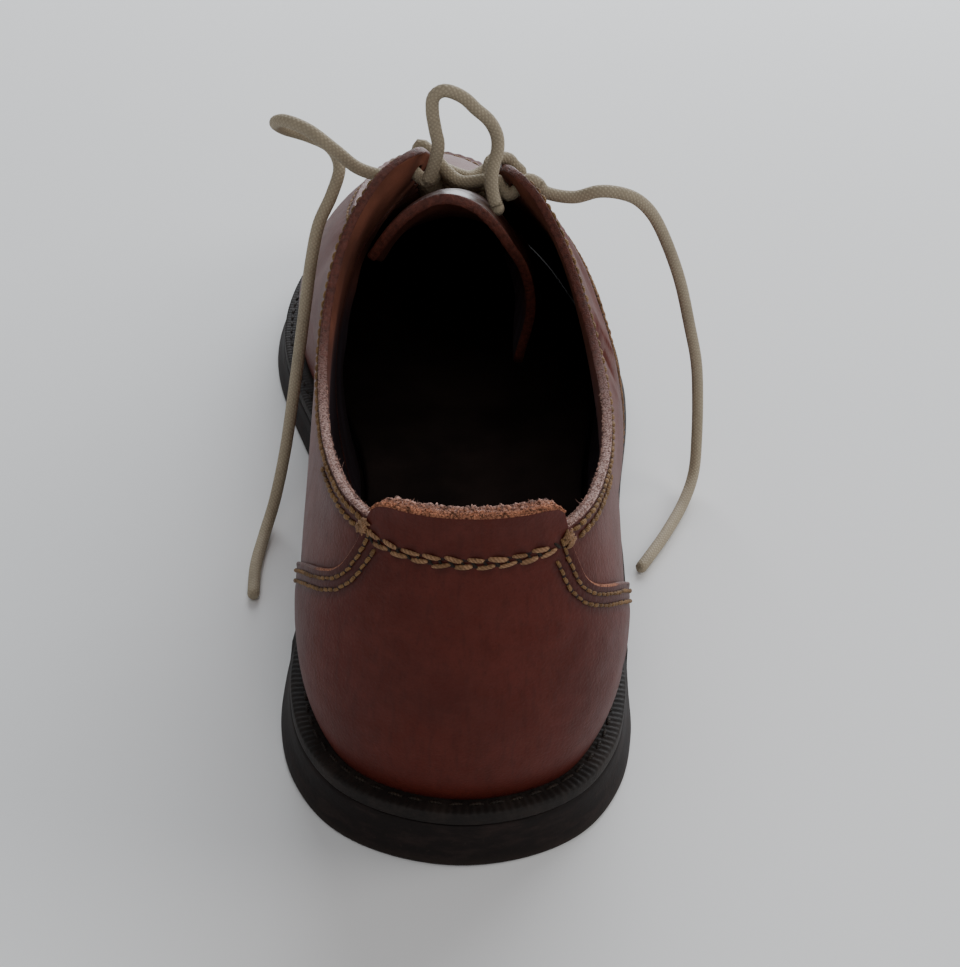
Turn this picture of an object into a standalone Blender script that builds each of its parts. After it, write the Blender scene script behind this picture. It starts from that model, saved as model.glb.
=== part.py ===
"""A right-foot laced leather shoe with a split toe: sole, welt, insole, upper, counter, tongue and lace."""

import math

import bmesh
import bpy
import numpy as np

# Tables and sizes are in millimetres, from the back of the heel on the floor.
# X points to the outer side of the right foot, Y to the toe and Z up. Meshes are in metres.
MM = 0.001

GAP = 0.3             # clearance between pieces that touch
WALL = 2.2            # leather of the vamp
LAP = 1.2             # height of the quarters' cut edge above the vamp
COUNTER = 1.2         # leather of the heel counter
COUNTER_GAP = 0.5     # clearance between counter and quarters
WELT = 3.0            # thickness of the welt
WELT_INSIDE = 3.0     # width of the welt under the upper
WELT_BATTER = 0.3     # how far the welt's side leans in at its top
FLARE = 2.3           # how far the sole's side runs out below the welt
INSOLE = 6.0          # thickness of the footbed
INSOLE_EDGE = 1.0     # chamfer round the footbed's top
RIDGE = 1.1           # height of the raised apron seam and the toe's split seam
LACE = 3.1            # diameter of the round lace
HOLE = 4.6            # diameter of a punched lace hole
SHARP = 40            # edges sharper than this many degrees stay crisp

# Sole: toe spring and arch
SPRING = 9.2
SPRING_FROM = 212.0
ARCH = 3.6
BREAST = 64.0
BREAST_RUN = 1.5
ARCH_END = 132.0
TIP = 303.0
SIDE_COLUMNS = ("share", "outset")    # share of the side's height from its top, and outset there
SIDE = ((0.0, -0.4), (0.08, 0.0), (0.45, 0.35 * FLARE), (0.86, FLARE), (1.0, FLARE - 0.9))

# The last, a row for each section from the heel's back to the toe's tip.
# sole_y, medial, lateral: the welt's outer edge. margin: from there in to the leather.
# top_*: the collar, then the facing's edge, then the ridge of the vamp.
# belly_*, rise: how the wall leaves the welt. reach_*, drop: how it arrives at the top.
COLUMNS = ("sole_y", "medial", "lateral", "margin",
           "top_y", "top_x_medial", "top_x_lateral", "top_z_medial", "top_z_lateral",
           "belly_medial", "belly_lateral", "rise", "reach_medial", "reach_lateral", "drop")
SECTIONS = (
    (2.1, 0.0, 0.0, 7.5, 13.6, 0.0, 0.0, 70.4, 70.4, 8.5, 8.5, 18, 3.0, 3.0, 18),
    (5.0, -14.5, 14.5, 7.5, 15.3, -9.8, 9.8, 70.8, 70.8, 8.5, 8.5, 18, 3.0, 3.0, 18),
    (12.5, -26.0, 26.0, 7.5, 20.2, -17.4, 17.4, 71.7, 71.7, 8.5, 8.5, 18, 3.4, 3.4, 18),
    (25.0, -33.6, 33.6, 7.5, 28.0, -22.8, 22.4, 71.4, 71.4, 8.5, 8.5, 18, 3.8, 3.8, 18),
    (40.0, -37.0, 37.2, 7.4, 40.0, -26.4, 26.0, 69.6, 69.6, 8.5, 8.5, 18, 4.0, 4.0, 18),
    (56.0, -37.2, 38.2, 7.1, 54.0, -29.2, 28.8, 68.4, 68.2, 7.6, 5.6, 19, 3.6, 4.0, 18),
    (73.0, -35.8, 39.3, 6.7, 69.0, -31.0, 30.0, 70.0, 69.6, 7.2, 3.2, 20, 3.0, 3.6, 19),
    (90.0, -33.6, 40.8, 6.2, 83.5, -31.6, 28.6, 75.4, 74.4, 8.0, 5.4, 22, 2.6, 5.8, 21),
    (106.0, -32.2, 41.8, 5.9, 96.0, -30.4, 25.6, 83.6, 81.4, 8.8, 9.0, 24, 4.0, 9.0, 23),
    (120.0, -32.2, 42.4, 5.6, 106.5, -26.6, 21.2, 93.6, 90.0, 8.8, 10.4, 27, 7.5, 12.5, 23),
    (133.0, -33.6, 43.6, 5.5, 115.0, -19.6, 15.4, 102.4, 97.8, 8.0, 9.4, 30, 12.0, 16.0, 21),
    (146.0, -36.2, 45.3, 5.4, 121.5, -12.0, 10.0, 105.4, 101.0, 7.0, 7.4, 32, 16.0, 18.0, 19),
    (159.0, -40.0, 47.4, 5.3, 132.0, -9.0, 7.6, 100.4, 97.8, 6.0, 5.2, 32, 18.0, 18.5, 16),
    (172.0, -44.0, 49.3, 5.2, 146.0, -7.8, 6.2, 91.6, 90.6, 5.2, 3.6, 31, 20.0, 19.5, 11),
    (185.0, -47.6, 50.6, 5.2, 160.5, -6.4, 4.4, 82.6, 82.4, 4.8, 3.6, 29, 21.0, 20.5, 6),
    (198.0, -50.4, 51.2, 5.1, 172.5, -1.6, -1.6, 75.6, 75.6, 4.6, 3.8, 27, 22.0, 21.5, 2),
    (212.0, -52.0, 50.5, 5.0, 186.0, -2.4, -2.4, 69.6, 69.6, 4.6, 4.0, 25, 23.0, 22.0, 0),
    (227.0, -52.0, 48.3, 5.0, 200.0, -3.2, -3.2, 64.6, 64.6, 4.6, 4.2, 23, 23.5, 22.0, 0),
    (243.0, -50.0, 44.2, 5.0, 213.5, -4.0, -4.0, 60.4, 60.4, 4.6, 4.4, 21, 23.0, 21.5, 0),
    (259.0, -46.0, 38.8, 5.0, 226.0, -4.8, -4.8, 57.0, 57.0, 4.6, 4.6, 19, 22.0, 20.5, 0),
    (274.0, -39.8, 31.4, 5.0, 236.5, -5.6, -5.6, 54.2, 54.2, 4.6, 4.6, 17, 20.5, 19.0, 0),
    (287.5, -31.4, 21.8, 5.0, 244.5, -6.2, -6.2, 52.2, 52.2, 4.6, 4.6, 16, 19.0, 18.0, 0),
    (297.0, -20.8, 9.6, 5.0, 249.5, -6.6, -6.6, 51.0, 51.0, 4.6, 4.6, 15, 18.5, 18.0, 0),
    (301.0, -6.5, -6.5, 5.0, 251.5, -6.8, -6.8, 50.5, 50.5, 4.6, 4.6, 15, 18.5, 18.5, 0),
)
TOE = len(SECTIONS) - 1
THROAT = 15           # first section whose two sides meet on the ridge

# Height of the welt's top along the shoe
SEAT_Y = (-5.0, 30.0, 70.0, 110.0, 150.0, 190.0, 225.0, 255.0, 280.0, 310.0)
SEAT_Z = (12.4, 12.4, 12.1, 11.3, 10.3, 9.8, 10.3, 12.4, 15.4, 20.4)

# Front edge of the quarters: height along the section, and the section it crosses there
SEAM_HEIGHT = (0.0, 0.25, 0.5, 0.66, 0.78, 0.88, 1.0)
SEAM_SECTION = (8.6, 8.8, 9.3, 10.1, 11.6, 13.4, 14.6)

LAP_RUN = 0.03        # sections over which the quarters' cut edge drops to the vamp
QUARTER_COUNT = 22    # columns of the wall on each quarter, and on each side of the vamp
VAMP_COUNT = 16

# The apron's raised seam: its height along the section, and half its width there
APRON = 0.6
APRON_HALF = 0.018

# Top edge of the heel counter with its tab: sections away from its middle, height along the section
COUNTER_MIDDLE = -0.15
COUNTER_ROWS = 8
COUNTER_STEP = 0.28   # widest step between the counter's columns, in sections
TAB_TILT = 0.0115     # rise of the tab's top to the lateral side, in height for each section
TAB_TILT_ENDS = (1.9, 2.3)    # sections away from the middle between which the tilt dies out
COUNTER_COLUMNS = ("away", "height")
COUNTER_EDGE = (
    (0.0, 1.16), (0.6, 1.155), (1.1, 1.145), (1.55, 1.125), (1.8, 1.095), (1.92, 1.06), (2.0, 1.0),
    (2.08, 0.93), (2.18, 0.87), (2.3, 0.812), (2.5, 0.762), (2.8, 0.72), (3.2, 0.674), (3.7, 0.614),
    (4.3, 0.515), (5.0, 0.37), (5.6, 0.235), (6.1, 0.12),
)

# Tongue: its section, as shares of half width and fall, then a row for each place from the vamp to its top
TONGUE = 2.4
TONGUE_LEAN = 0.42    # the sections lean to the toe as they fall to the sides
TONGUE_CLEAR = 0.6    # clearance under the upper
TONGUE_ACROSS = 13
TONGUE_SECTION_COLUMNS = ("share", "out", "down")
TONGUE_SECTION = (
    (0.0, -0.82, 0.67), (0.12, -0.66, 0.42), (0.25, -0.44, 0.19), (0.38, -0.17, 0.03), (0.47, 0.02, 0.0),
    (0.57, 0.27, 0.07), (0.67, 0.5, 0.25), (0.77, 0.72, 0.53), (0.84, 0.9, 0.83), (0.89, 0.98, 1.12),
    (0.94, 0.99, 1.45), (1.0, 0.9, 1.9),
)
TONGUE_COLUMNS = ("y", "crown", "half", "fall", "centre")
TONGUE_ROWS = (
    (186.0, 65.6, 13.0, 4.0, -2.4),
    (176.0, 70.0, 15.5, 6.0, -2.2),
    (162.0, 76.6, 17.5, 9.0, -2.0),
    (147.0, 84.0, 19.5, 12.5, -2.2),
    (133.0, 91.0, 21.5, 17.0, -2.8),
    (122.0, 95.8, 22.3, 22.0, -3.8),
    (113.0, 99.3, 22.8, 26.0, -4.6),
    (104.0, 102.0, 22.9, 28.0, -5.0),
)

# Lace holes: section of each pair, and height along the section
HOLE_SECTIONS = (13.45, 12.8, 12.15, 11.5)
HOLE_HEIGHT = 0.925
HOLE_REACH = 9.0      # half length of a hole's cutter
LACE_UNDER = 3.0      # how far the lace goes down into a hole
LACE_SLANT = 0.12     # share of a bar's slant that it takes on over the facing
LACE_CLEAR = 0.6      # clearance of the bars over the facings
LACE_LIFT = LAP + LACE / 2 + LACE_CLEAR    # height of the lace's middle over the last

# Free lengths of lace, a few places on each route. The ends first leave their hole over the facing.
LOOP_ROUTE = ((-9.8, 122.4, 97.6), (-8.5, 121.8, 101.3), (-7.5, 121.4, 106.5), (-8.3, 121.2, 110.6),
              (-9.1, 121.0, 114.8), (-9.0, 121.0, 118.2), (-7.2, 121.0, 119.9), (-4.9, 121.0, 119.8),
              (-1.9, 121.0, 118.4), (0.8, 121.0, 116.0), (3.9, 121.0, 113.4), (5.8, 120.8, 110.2),
              (6.2, 120.2, 106.9), (5.4, 118.9, 103.6), (5.0, 117.0, 100.6), (5.4, 115.2, 97.8),
              (6.2, 113.5, 95.6))
LEAVE_COLUMNS = ("down", "lift")
LEAVE = ((0.029, 0.0), (0.068, 0.2))
LATERAL_ROUTE = ((25.4, 127.2, 92.8), (31.0, 126.4, 94.8), (36.4, 127.4, 94.2), (41.4, 129.4, 91.6),
                 (46.2, 132.4, 86.0), (51.4, 136.6, 76.0), (56.4, 141.2, 64.0), (60.9, 145.2, 50.0),
                 (64.5, 148.2, 38.0), (66.6, 150.2, 26.6), (67.8, 149.2, 14.0), (67.0, 142.6, 5.6),
                 (63.0, 132.0, 2.2), (56.6, 118.0, 1.8), (51.6, 108.4, 1.8), (47.8, 101.4, 1.8))
MEDIAL_ROUTE = ((-26.0, 126.6, 98.4), (-31.4, 125.2, 103.2), (-37.4, 125.6, 107.6), (-43.0, 129.2, 108.4),
                (-46.0, 134.8, 105.8), (-44.6, 140.6, 102.2), (-39.0, 143.0, 99.6), (-33.6, 141.0, 97.8),
                (-31.0, 135.8, 94.8), (-32.6, 131.0, 89.6), (-35.6, 128.4, 83.0), (-37.4, 127.2, 74.0),
                (-39.0, 127.4, 62.0), (-40.8, 128.0, 48.0), (-42.8, 128.4, 33.0), (-45.0, 127.4, 18.0),
                (-47.4, 122.4, 6.6), (-49.4, 112.4, 2.2), (-50.4, 99.0, 1.8), (-49.8, 86.0, 1.8))


def table_columns(names, rows):
    """A table's columns by name."""
    return {name: np.array([row[k] for row in rows], float) for k, name in enumerate(names)}


def ring_values(medial, lateral):
    """One column all round the shoe, from the toe by the medial side and the heel to the toe again."""
    return np.concatenate([medial[:0:-1], lateral[:-1]])


def columns_all_round():
    table = table_columns(COLUMNS, SECTIONS)
    rings = {}
    for name in ("sole_y", "margin", "top_y", "rise", "drop"):
        rings[name] = ring_values(table[name], table[name])
    rings["edge_x"] = ring_values(table["medial"], table["lateral"])
    for name in ("top_x", "top_z", "belly", "reach"):
        rings[name] = ring_values(table[name + "_medial"], table[name + "_lateral"])
    return rings


RINGS = columns_all_round()


def ring_at(name, u):
    """Smooth value of a column at section u: 0 is the heel, +TOE and -TOE the toe by either side."""
    ring = RINGS[name]
    place = np.asarray(u, float) + TOE
    first = np.floor(place).astype(int)
    f = place - first
    a, b, c, d = (ring[(first + k) % len(ring)] for k in (-1, 0, 1, 2))
    return b + 0.5 * f * (c - a + f * (2 * a - 5 * b + 4 * c - d + f * (3 * (b - c) + d - a)))


def smooth_read(x, xs, ys):
    """Smooth reading of a short table, a cubic through its rows."""
    xs, ys = np.asarray(xs, float), np.asarray(ys, float)
    slope = np.gradient(ys, xs)
    x = np.clip(np.asarray(x, float), xs[0], xs[-1])
    k = np.clip(np.searchsorted(xs, x) - 1, 0, len(xs) - 2)
    h = xs[k + 1] - xs[k]
    t = (x - xs[k]) / h
    return ((1 + 2 * t) * (1 - t) ** 2 * ys[k] + t * (1 - t) ** 2 * h * slope[k]
            + t * t * (3 - 2 * t) * ys[k + 1] + t * t * (t - 1) * h * slope[k + 1])


def seat(y):
    return smooth_read(y, SEAT_Y, SEAT_Z)


def tread(y):
    """Height of the sole's underside: flat heel, arch behind the ball, toe spring."""
    y = np.asarray(y, float)
    spring = SPRING * (np.clip(y - SPRING_FROM, 0, None) / (TIP - SPRING_FROM)) ** 2
    along = np.clip((y - BREAST) / (ARCH_END - BREAST), 0, 1)
    entry = np.clip((y - BREAST) / BREAST_RUN, 0, 1)
    return spring + ARCH * entry * (1 - along ** 2)


def outward(u):
    """Direction away from the shoe, in plan, square to the welt's edge."""
    step = 0.01
    dx = ring_at("edge_x", u + step) - ring_at("edge_x", u - step)
    dy = ring_at("sole_y", u + step) - ring_at("sole_y", u - step)
    size = np.hypot(dx, dy)
    return np.stack([dy / size, -dx / size], -1)


def outline(u, outset):
    """Points in plan that lie outset from the welt's outer edge."""
    u = np.asarray(u, float)
    edge = np.stack([ring_at("edge_x", u), ring_at("sole_y", u)], -1)
    return edge + outward(u) * np.asarray(outset, float)[..., None]


def last_point(u, v):
    """Point of the last at section u and height v: 0 on the welt, 1 at the top edge or the ridge."""
    u, v = np.broadcast_arrays(np.asarray(u, float), np.asarray(v, float))
    n = outward(u)
    side = np.concatenate([n, np.zeros(u.shape + (1,))], -1)
    up = np.array([0.0, 0.0, 1.0])
    foot_xy = outline(u, -ring_at("margin", u))
    foot = np.concatenate([foot_xy, (seat(foot_xy[..., 1]) + GAP)[..., None]], -1)
    top = np.stack([ring_at("top_x", u), ring_at("top_y", u), ring_at("top_z", u)], -1)
    low = foot + side * ring_at("belly", u)[..., None] + up * ring_at("rise", u)[..., None]
    high = top + side * ring_at("reach", u)[..., None] - up * ring_at("drop", u)[..., None]
    t = v[..., None]
    return (1 - t) ** 3 * foot + 3 * (1 - t) ** 2 * t * low + 3 * (1 - t) * t * t * high + t ** 3 * top


def last_normal(u, v):
    step = 0.01
    along = last_point(u + step, v) - last_point(u - step, v)
    rising = last_point(u, v + step) - last_point(u, v - step)
    n = np.cross(along, rising)
    return n / np.linalg.norm(n, axis=-1, keepdims=True)


def on_last(u, v, lift):
    """Point that stands lift above the last's surface."""
    return last_point(u, v) + last_normal(u, v) * np.asarray(lift, float)[..., None]


def smooth_route(places, spacing):
    """Evenly spaced points on a smooth curve through a route's places."""
    p = np.array(places, float)
    ends = np.vstack([2 * p[0] - p[1], p, 2 * p[-1] - p[-2]])
    dense = []
    for k in range(1, len(ends) - 2):
        a, b, c, d = ends[k - 1:k + 3]
        for f in np.linspace(0, 1, 40, endpoint=False):
            dense.append(b + 0.5 * f * (c - a + f * (2 * a - 5 * b + 4 * c - d + f * (3 * (b - c) + d - a))))
    dense = np.array(dense + [p[-1]])
    run = np.concatenate([[0], np.cumsum(np.linalg.norm(np.diff(dense, axis=0), axis=1))])
    count = max(int(round(run[-1] / spacing)), 4) + 1
    at = np.linspace(0, run[-1], count)
    return np.stack([np.interp(at, run, dense[:, k]) for k in range(3)], -1)


def sole_centre():
    edge = outline(np.linspace(-TOE, TOE, 1000), np.full(1000, FLARE))
    return (edge.min(0) + edge.max(0)) / 2


CENTRE = np.append(sole_centre(), 0.0)


def metres(points):
    """Place in the part's frame: its origin is on the floor under the middle of the sole."""
    return (np.asarray(points, float) - CENTRE) * MM


def clear_scene():
    for item in list(bpy.data.objects):
        bpy.data.objects.remove(item, do_unlink=True)


def finish_material(name, colour, roughness):
    material = bpy.data.materials.new(name)
    material.use_nodes = True
    shader = material.node_tree.nodes["Principled BSDF"]
    shader.inputs["Base Color"].default_value = (*colour, 1.0)
    shader.inputs["Roughness"].default_value = roughness
    shader.inputs["Metallic"].default_value = 0.0
    return material


def add_object(name, bm, material):
    bmesh.ops.recalc_face_normals(bm, faces=bm.faces)
    mesh = bpy.data.meshes.new(name)
    bm.to_mesh(mesh)
    bm.free()
    mesh.shade_smooth()
    mesh.set_sharp_from_angle(angle=math.radians(SHARP))
    mesh.materials.append(material)
    item = bpy.data.objects.new(name, mesh)
    bpy.context.scene.collection.objects.link(item)
    return item


def add_row(bm, points):
    return [bm.verts.new(p) for p in metres(points)]


def join_rows(bm, first, second, closed):
    count = len(first)
    for k in range(count if closed else count - 1):
        m = (k + 1) % count
        bm.faces.new((first[k], first[m], second[m], second[k]))


def fill_across(bm, loop):
    """Close a loop that runs round the shoe with strips from its medial to its lateral side."""
    half = len(loop) // 2
    for k in range(1, half):
        a, b = loop[half - k], loop[half + k]
        c, d = loop[half - k + 1], loop[half + k - 1]
        bm.faces.new((a, c, b) if c is d else (a, c, d, b))
    bm.faces.new((loop[0], loop[1], loop[-1]))


def sections_round(extra=()):
    """Sections all round the shoe, the same on both sides, each once."""
    steps = sorted(set(np.round(np.arange(0.5, TOE, 0.5), 4)) | set(extra))
    return np.array([-TOE] + [-s for s in steps[::-1]] + [0.0] + steps)


def section_of(y):
    """Section at which the welt's edge passes y."""
    u = np.linspace(0, TOE, 4000)
    return float(np.interp(y, ring_at("sole_y", u), u))


def skin(bm, outer, inner, closed):
    """Closed solid between two grids of points that lie one above the other."""
    out_rows = [add_row(bm, row) for row in outer]
    in_rows = [add_row(bm, row) for row in inner]
    for rows in (out_rows, in_rows):
        for a, b in zip(rows, rows[1:]):
            join_rows(bm, a, b, closed)
    join_rows(bm, out_rows[0], in_rows[0], closed)
    join_rows(bm, out_rows[-1], in_rows[-1], closed)
    if not closed:
        for end in (0, -1):
            join_rows(bm, [r[end] for r in out_rows], [r[end] for r in in_rows], False)


def make_outsole():
    u = sections_round((section_of(BREAST), section_of(BREAST + BREAST_RUN)))
    under_welt = WELT + GAP
    side = table_columns(SIDE_COLUMNS, SIDE)
    bm = bmesh.new()
    loops = []
    for share, outset in zip(side["share"], side["outset"]):
        flat = outline(u, np.full(len(u), outset))
        y = flat[:, 1]
        z = (1 - share) * (seat(y) - under_welt) + share * tread(y)
        loops.append(add_row(bm, np.column_stack([flat, z])))
    for a, b in zip(loops, loops[1:]):
        join_rows(bm, a, b, True)
    fill_across(bm, loops[0])
    fill_across(bm, loops[-1])
    return add_object("outsole", bm, finish_material("sole_rubber", (0.012, 0.009, 0.008), 0.55))


def make_welt():
    u = sections_round()
    inside = -ring_at("margin", u) - WELT_INSIDE
    edge = np.zeros(len(u))
    # outset and depth below the welt's top, round the strip's section
    profile = ((inside, 0.0), (edge - WELT_BATTER, 0.0), (edge, WELT), (inside, WELT))
    bm = bmesh.new()
    loops = []
    for outset, depth in profile:
        flat = outline(u, outset)
        loops.append(add_row(bm, np.column_stack([flat, seat(flat[:, 1]) - depth])))
    for a, b in zip(loops, loops[1:] + loops[:1]):
        join_rows(bm, a, b, True)
    return add_object("welt", bm, finish_material("welt_leather", (0.02, 0.015, 0.012), 0.6))


def make_insole():
    u = sections_round()
    inside = -ring_at("margin", u) - WELT_INSIDE - GAP
    bm = bmesh.new()
    loops = []
    for inset, lift in ((0.0, 0.0), (0.0, INSOLE - INSOLE_EDGE), (-INSOLE_EDGE, INSOLE)):
        flat = outline(u, inside + inset)
        loops.append(add_row(bm, np.column_stack([flat, seat(flat[:, 1]) - WELT + lift])))
    for a, b in zip(loops, loops[1:]):
        join_rows(bm, a, b, True)
    fill_across(bm, loops[0])
    fill_across(bm, loops[-1])
    return add_object("insole", bm, finish_material("insole_leather", (0.03, 0.02, 0.016), 0.8))


def seam_section(v):
    return smooth_read(v, SEAM_HEIGHT, SEAM_SECTION)


def upper_heights():
    """Heights of the upper's rows: three close ones make the apron's raised seam."""
    below = np.linspace(0, APRON - APRON_HALF, 7)
    above = np.linspace(APRON + APRON_HALF, 1, 5)
    return np.concatenate([below, [APRON], above]), len(below)


def make_upper():
    heights, apron_row = upper_heights()
    # shares of the way from the heel to the quarters' edge, and on to the toe's split seam
    quarter = np.linspace(0, 1, QUARTER_COUNT)
    vamp = np.concatenate([np.linspace(0, 0.93, VAMP_COUNT - 3), [0.965, 0.988, 1.0]])
    rows, lifts = [], []
    for r, v in enumerate(heights):
        seam = seam_section(v)
        u = np.concatenate([quarter * seam, seam + LAP_RUN + vamp * (TOE - seam - LAP_RUN)])
        lift = np.where(np.arange(len(u)) < len(quarter), LAP, 0.0)
        if r == apron_row:
            lift[len(quarter) + 1:] = RIDGE
        if r < apron_row:
            lift[-1] = RIDGE
        rows.append(np.concatenate([-u[:0:-1], u[:-1]]))
        lifts.append(np.concatenate([lift[:0:-1], lift[:-1]]))
    count = len(rows[0])
    middle = count // 2

    bm = bmesh.new()
    grid = [add_row(bm, last_point(u, np.full(count, v))) for u, v in zip(rows, heights)]
    for k in range(1, middle):
        if rows[-1][middle + k] >= THROAT - 0.2:
            grid[-1][middle - k] = grid[-1][middle + k]
    for a, b in zip(grid, grid[1:]):
        for k in range(count):
            m = (k + 1) % count
            corners = (a[k], a[m], b[m], b[k])
            bm.faces.new(list(dict.fromkeys(corners)))
    loose = [v for v in bm.verts if not v.link_faces]
    bmesh.ops.delete(bm, geom=loose, context="VERTS")
    bm.normal_update()
    lift_of = {vert: value for row, lift in zip(grid, lifts) for vert, value in zip(row, lift)}
    thicken(bm, lift_of, set(grid[0]))
    return add_object("upper", bm, finish_material("brown_leather", (0.09, 0.032, 0.022), 0.45))


def thicken(bm, lift_of, bottom):
    """Give the last's surface its wall: lifted outside, one leather inside, level where it stands."""
    inner_of = {}
    rim = [e for e in bm.edges if e.is_boundary]
    faces = list(bm.faces)
    base = {v: (v.co.copy(), v.normal.copy()) for v in bm.verts}
    for vert, (place, normal) in base.items():
        inner = bm.verts.new(place - normal * WALL * MM)
        vert.co = place + normal * lift_of[vert] * MM
        if vert in bottom:
            inner.co.z = place.z
            vert.co.z = place.z
        inner_of[vert] = inner
    for face in faces:
        bm.faces.new([inner_of[v] for v in reversed(face.verts)])
    for edge in rim:
        a, b = edge.verts
        bm.faces.new((a, b, inner_of[b], inner_of[a]))


def hole_frames():
    """Centre and outward direction of each lace hole: medial then lateral of each pair."""
    frames = []
    for section in HOLE_SECTIONS:
        pair = []
        for side in (-1, 1):
            u, v = np.array([side * section]), np.array([HOLE_HEIGHT])
            pair.append((on_last(u, v, np.array([LAP]))[0], last_normal(u, v)[0]))
        frames.append(pair)
    return frames


def add_rod(bm, start, end, radius, sides):
    """Straight closed rod between two points."""
    tube(bm, np.array([start, end]), radius, sides)


def tube(bm, path, radius, sides):
    """Closed round tube along a path, its section carried along without twist."""
    tangent = np.gradient(path, axis=0)
    tangent /= np.linalg.norm(tangent, axis=1, keepdims=True)
    side = np.cross(tangent[0], (0.0, 0.0, 1.0) if abs(tangent[0][2]) < 0.9 else (0.0, 1.0, 0.0))
    rings = []
    for place, t in zip(path, tangent):
        side = side - t * np.dot(side, t)
        side /= np.linalg.norm(side)
        up = np.cross(t, side)
        angles = np.linspace(0, 2 * math.pi, sides, endpoint=False)
        ring = place + radius * (np.outer(np.cos(angles), side) + np.outer(np.sin(angles), up))
        rings.append(add_row(bm, ring))
    for a, b in zip(rings, rings[1:]):
        join_rows(bm, a, b, True)
    bm.faces.new(rings[0])
    bm.faces.new(rings[-1])


def hide_helper(item):
    item.hide_render = True
    item.display_type = "WIRE"


def cut_lace_holes(upper):
    bm = bmesh.new()
    for pair in hole_frames():
        for place, normal in pair:
            add_rod(bm, place - normal * HOLE_REACH, place + normal * HOLE_REACH, HOLE / 2, 10)
    cutter = add_object("lace_hole_cutter", bm, upper.data.materials[0])
    hide_helper(cutter)
    cut = upper.modifiers.new("lace_holes", "BOOLEAN")
    cut.operation = "DIFFERENCE"
    cut.solver = "EXACT"
    cut.object = cutter


def make_counter():
    edge = table_columns(COUNTER_COLUMNS, COUNTER_EDGE)
    away = edge["away"]
    between = (away[1:] + away[:-1]) / 2
    wide = np.diff(away) > COUNTER_STEP
    away = np.sort(np.concatenate([away, between[wide]]))
    u = COUNTER_MIDDLE + np.concatenate([-away[:0:-1], away])
    off = u - COUNTER_MIDDLE
    tilt = TAB_TILT * off * np.interp(np.abs(off), TAB_TILT_ENDS, (1, 0))
    top = smooth_read(np.abs(off), edge["away"], edge["height"]) + tilt
    shares = np.linspace(0, 1, COUNTER_ROWS)
    inside = LAP + COUNTER_GAP
    outer = np.array([on_last(u, top * s, np.full(len(u), inside + COUNTER)) for s in shares])
    inner = np.array([on_last(u, top * s, np.full(len(u), inside)) for s in shares])
    foot = last_point(u, np.zeros(len(u)))[:, 2]
    outer[0, :, 2] = foot
    inner[0, :, 2] = foot
    bm = bmesh.new()
    skin(bm, outer, inner, False)
    return add_object("heel_counter", bm, finish_material("counter_leather", (0.085, 0.03, 0.021), 0.45))


def under_upper(x, y, z, clear):
    """Heights z, lowered where the upper's inside lies over them at a place in plan."""
    close = 1.0
    side = np.linspace(9, 18, 150)
    u, v = np.meshgrid(np.concatenate([side, -side]), np.linspace(0.5, 1, 84))
    inside = on_last(u, v, np.full(u.shape, -WALL - clear)).reshape(-1, 3)
    fall = np.zeros(z.shape)
    for k in np.ndindex(z.shape):
        near = np.hypot(inside[:, 0] - x[k], inside[:, 1] - y[k]) < close
        if near.any():
            fall[k] = max(z[k] - inside[near, 2].min(), 0.0)
    for _ in range(4):
        wide = np.pad(fall, 1, mode="edge")
        mean = (wide[:-2, 1:-1] + wide[2:, 1:-1] + wide[1:-1, :-2] + wide[1:-1, 2:]) / 4
        fall = np.maximum(fall, mean)
    return z - fall


def make_tongue():
    rows = table_columns(TONGUE_COLUMNS, TONGUE_ROWS)
    section = table_columns(TONGUE_SECTION_COLUMNS, TONGUE_SECTION)
    last_row = len(TONGUE_ROWS) - 1
    order = np.linspace(0, last_row, 2 * last_row + 1)
    value = {name: smooth_read(order, range(last_row + 1), column)[:, None] for name, column in rows.items()}
    share = np.linspace(0, 1, TONGUE_ACROSS)
    out = smooth_read(share, section["share"], section["out"])
    fall = value["fall"] * smooth_read(share, section["share"], section["down"])
    x = value["centre"] + value["half"] * out
    y = value["y"] + TONGUE_LEAN * fall
    top = np.stack([x, y, under_upper(x, y, value["crown"] - fall, TONGUE_CLEAR)], -1)
    normal = np.cross(np.gradient(top, axis=0), np.gradient(top, axis=1))
    normal /= np.linalg.norm(normal, axis=-1, keepdims=True)
    normal *= np.sign(normal[..., 2].sum())
    bm = bmesh.new()
    skin(bm, top, top - normal * TONGUE, False)
    return add_object("tongue", bm, finish_material("tongue_leather", (0.05, 0.02, 0.015), 0.55))


def over_facing(here, there):
    """Places of a bar of lace from its hole to the facing's edge, as it slants towards another hole."""
    (u, v), side = here, np.sign(here[0])
    slant = LACE_SLANT * (abs(there[0]) - abs(u)) * side
    share = np.linspace(0, 1, 3)
    return on_last(u + slant * share, v + (1 - v) * share, np.full(3, LACE_LIFT))


def lace_leg(start, end):
    """Bar of lace from one hole to another, over both facings and clear of them."""
    places = np.concatenate([over_facing(start, end), over_facing(end, start)[::-1]])
    return smooth_route(places, 1.5 * LACE)


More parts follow.
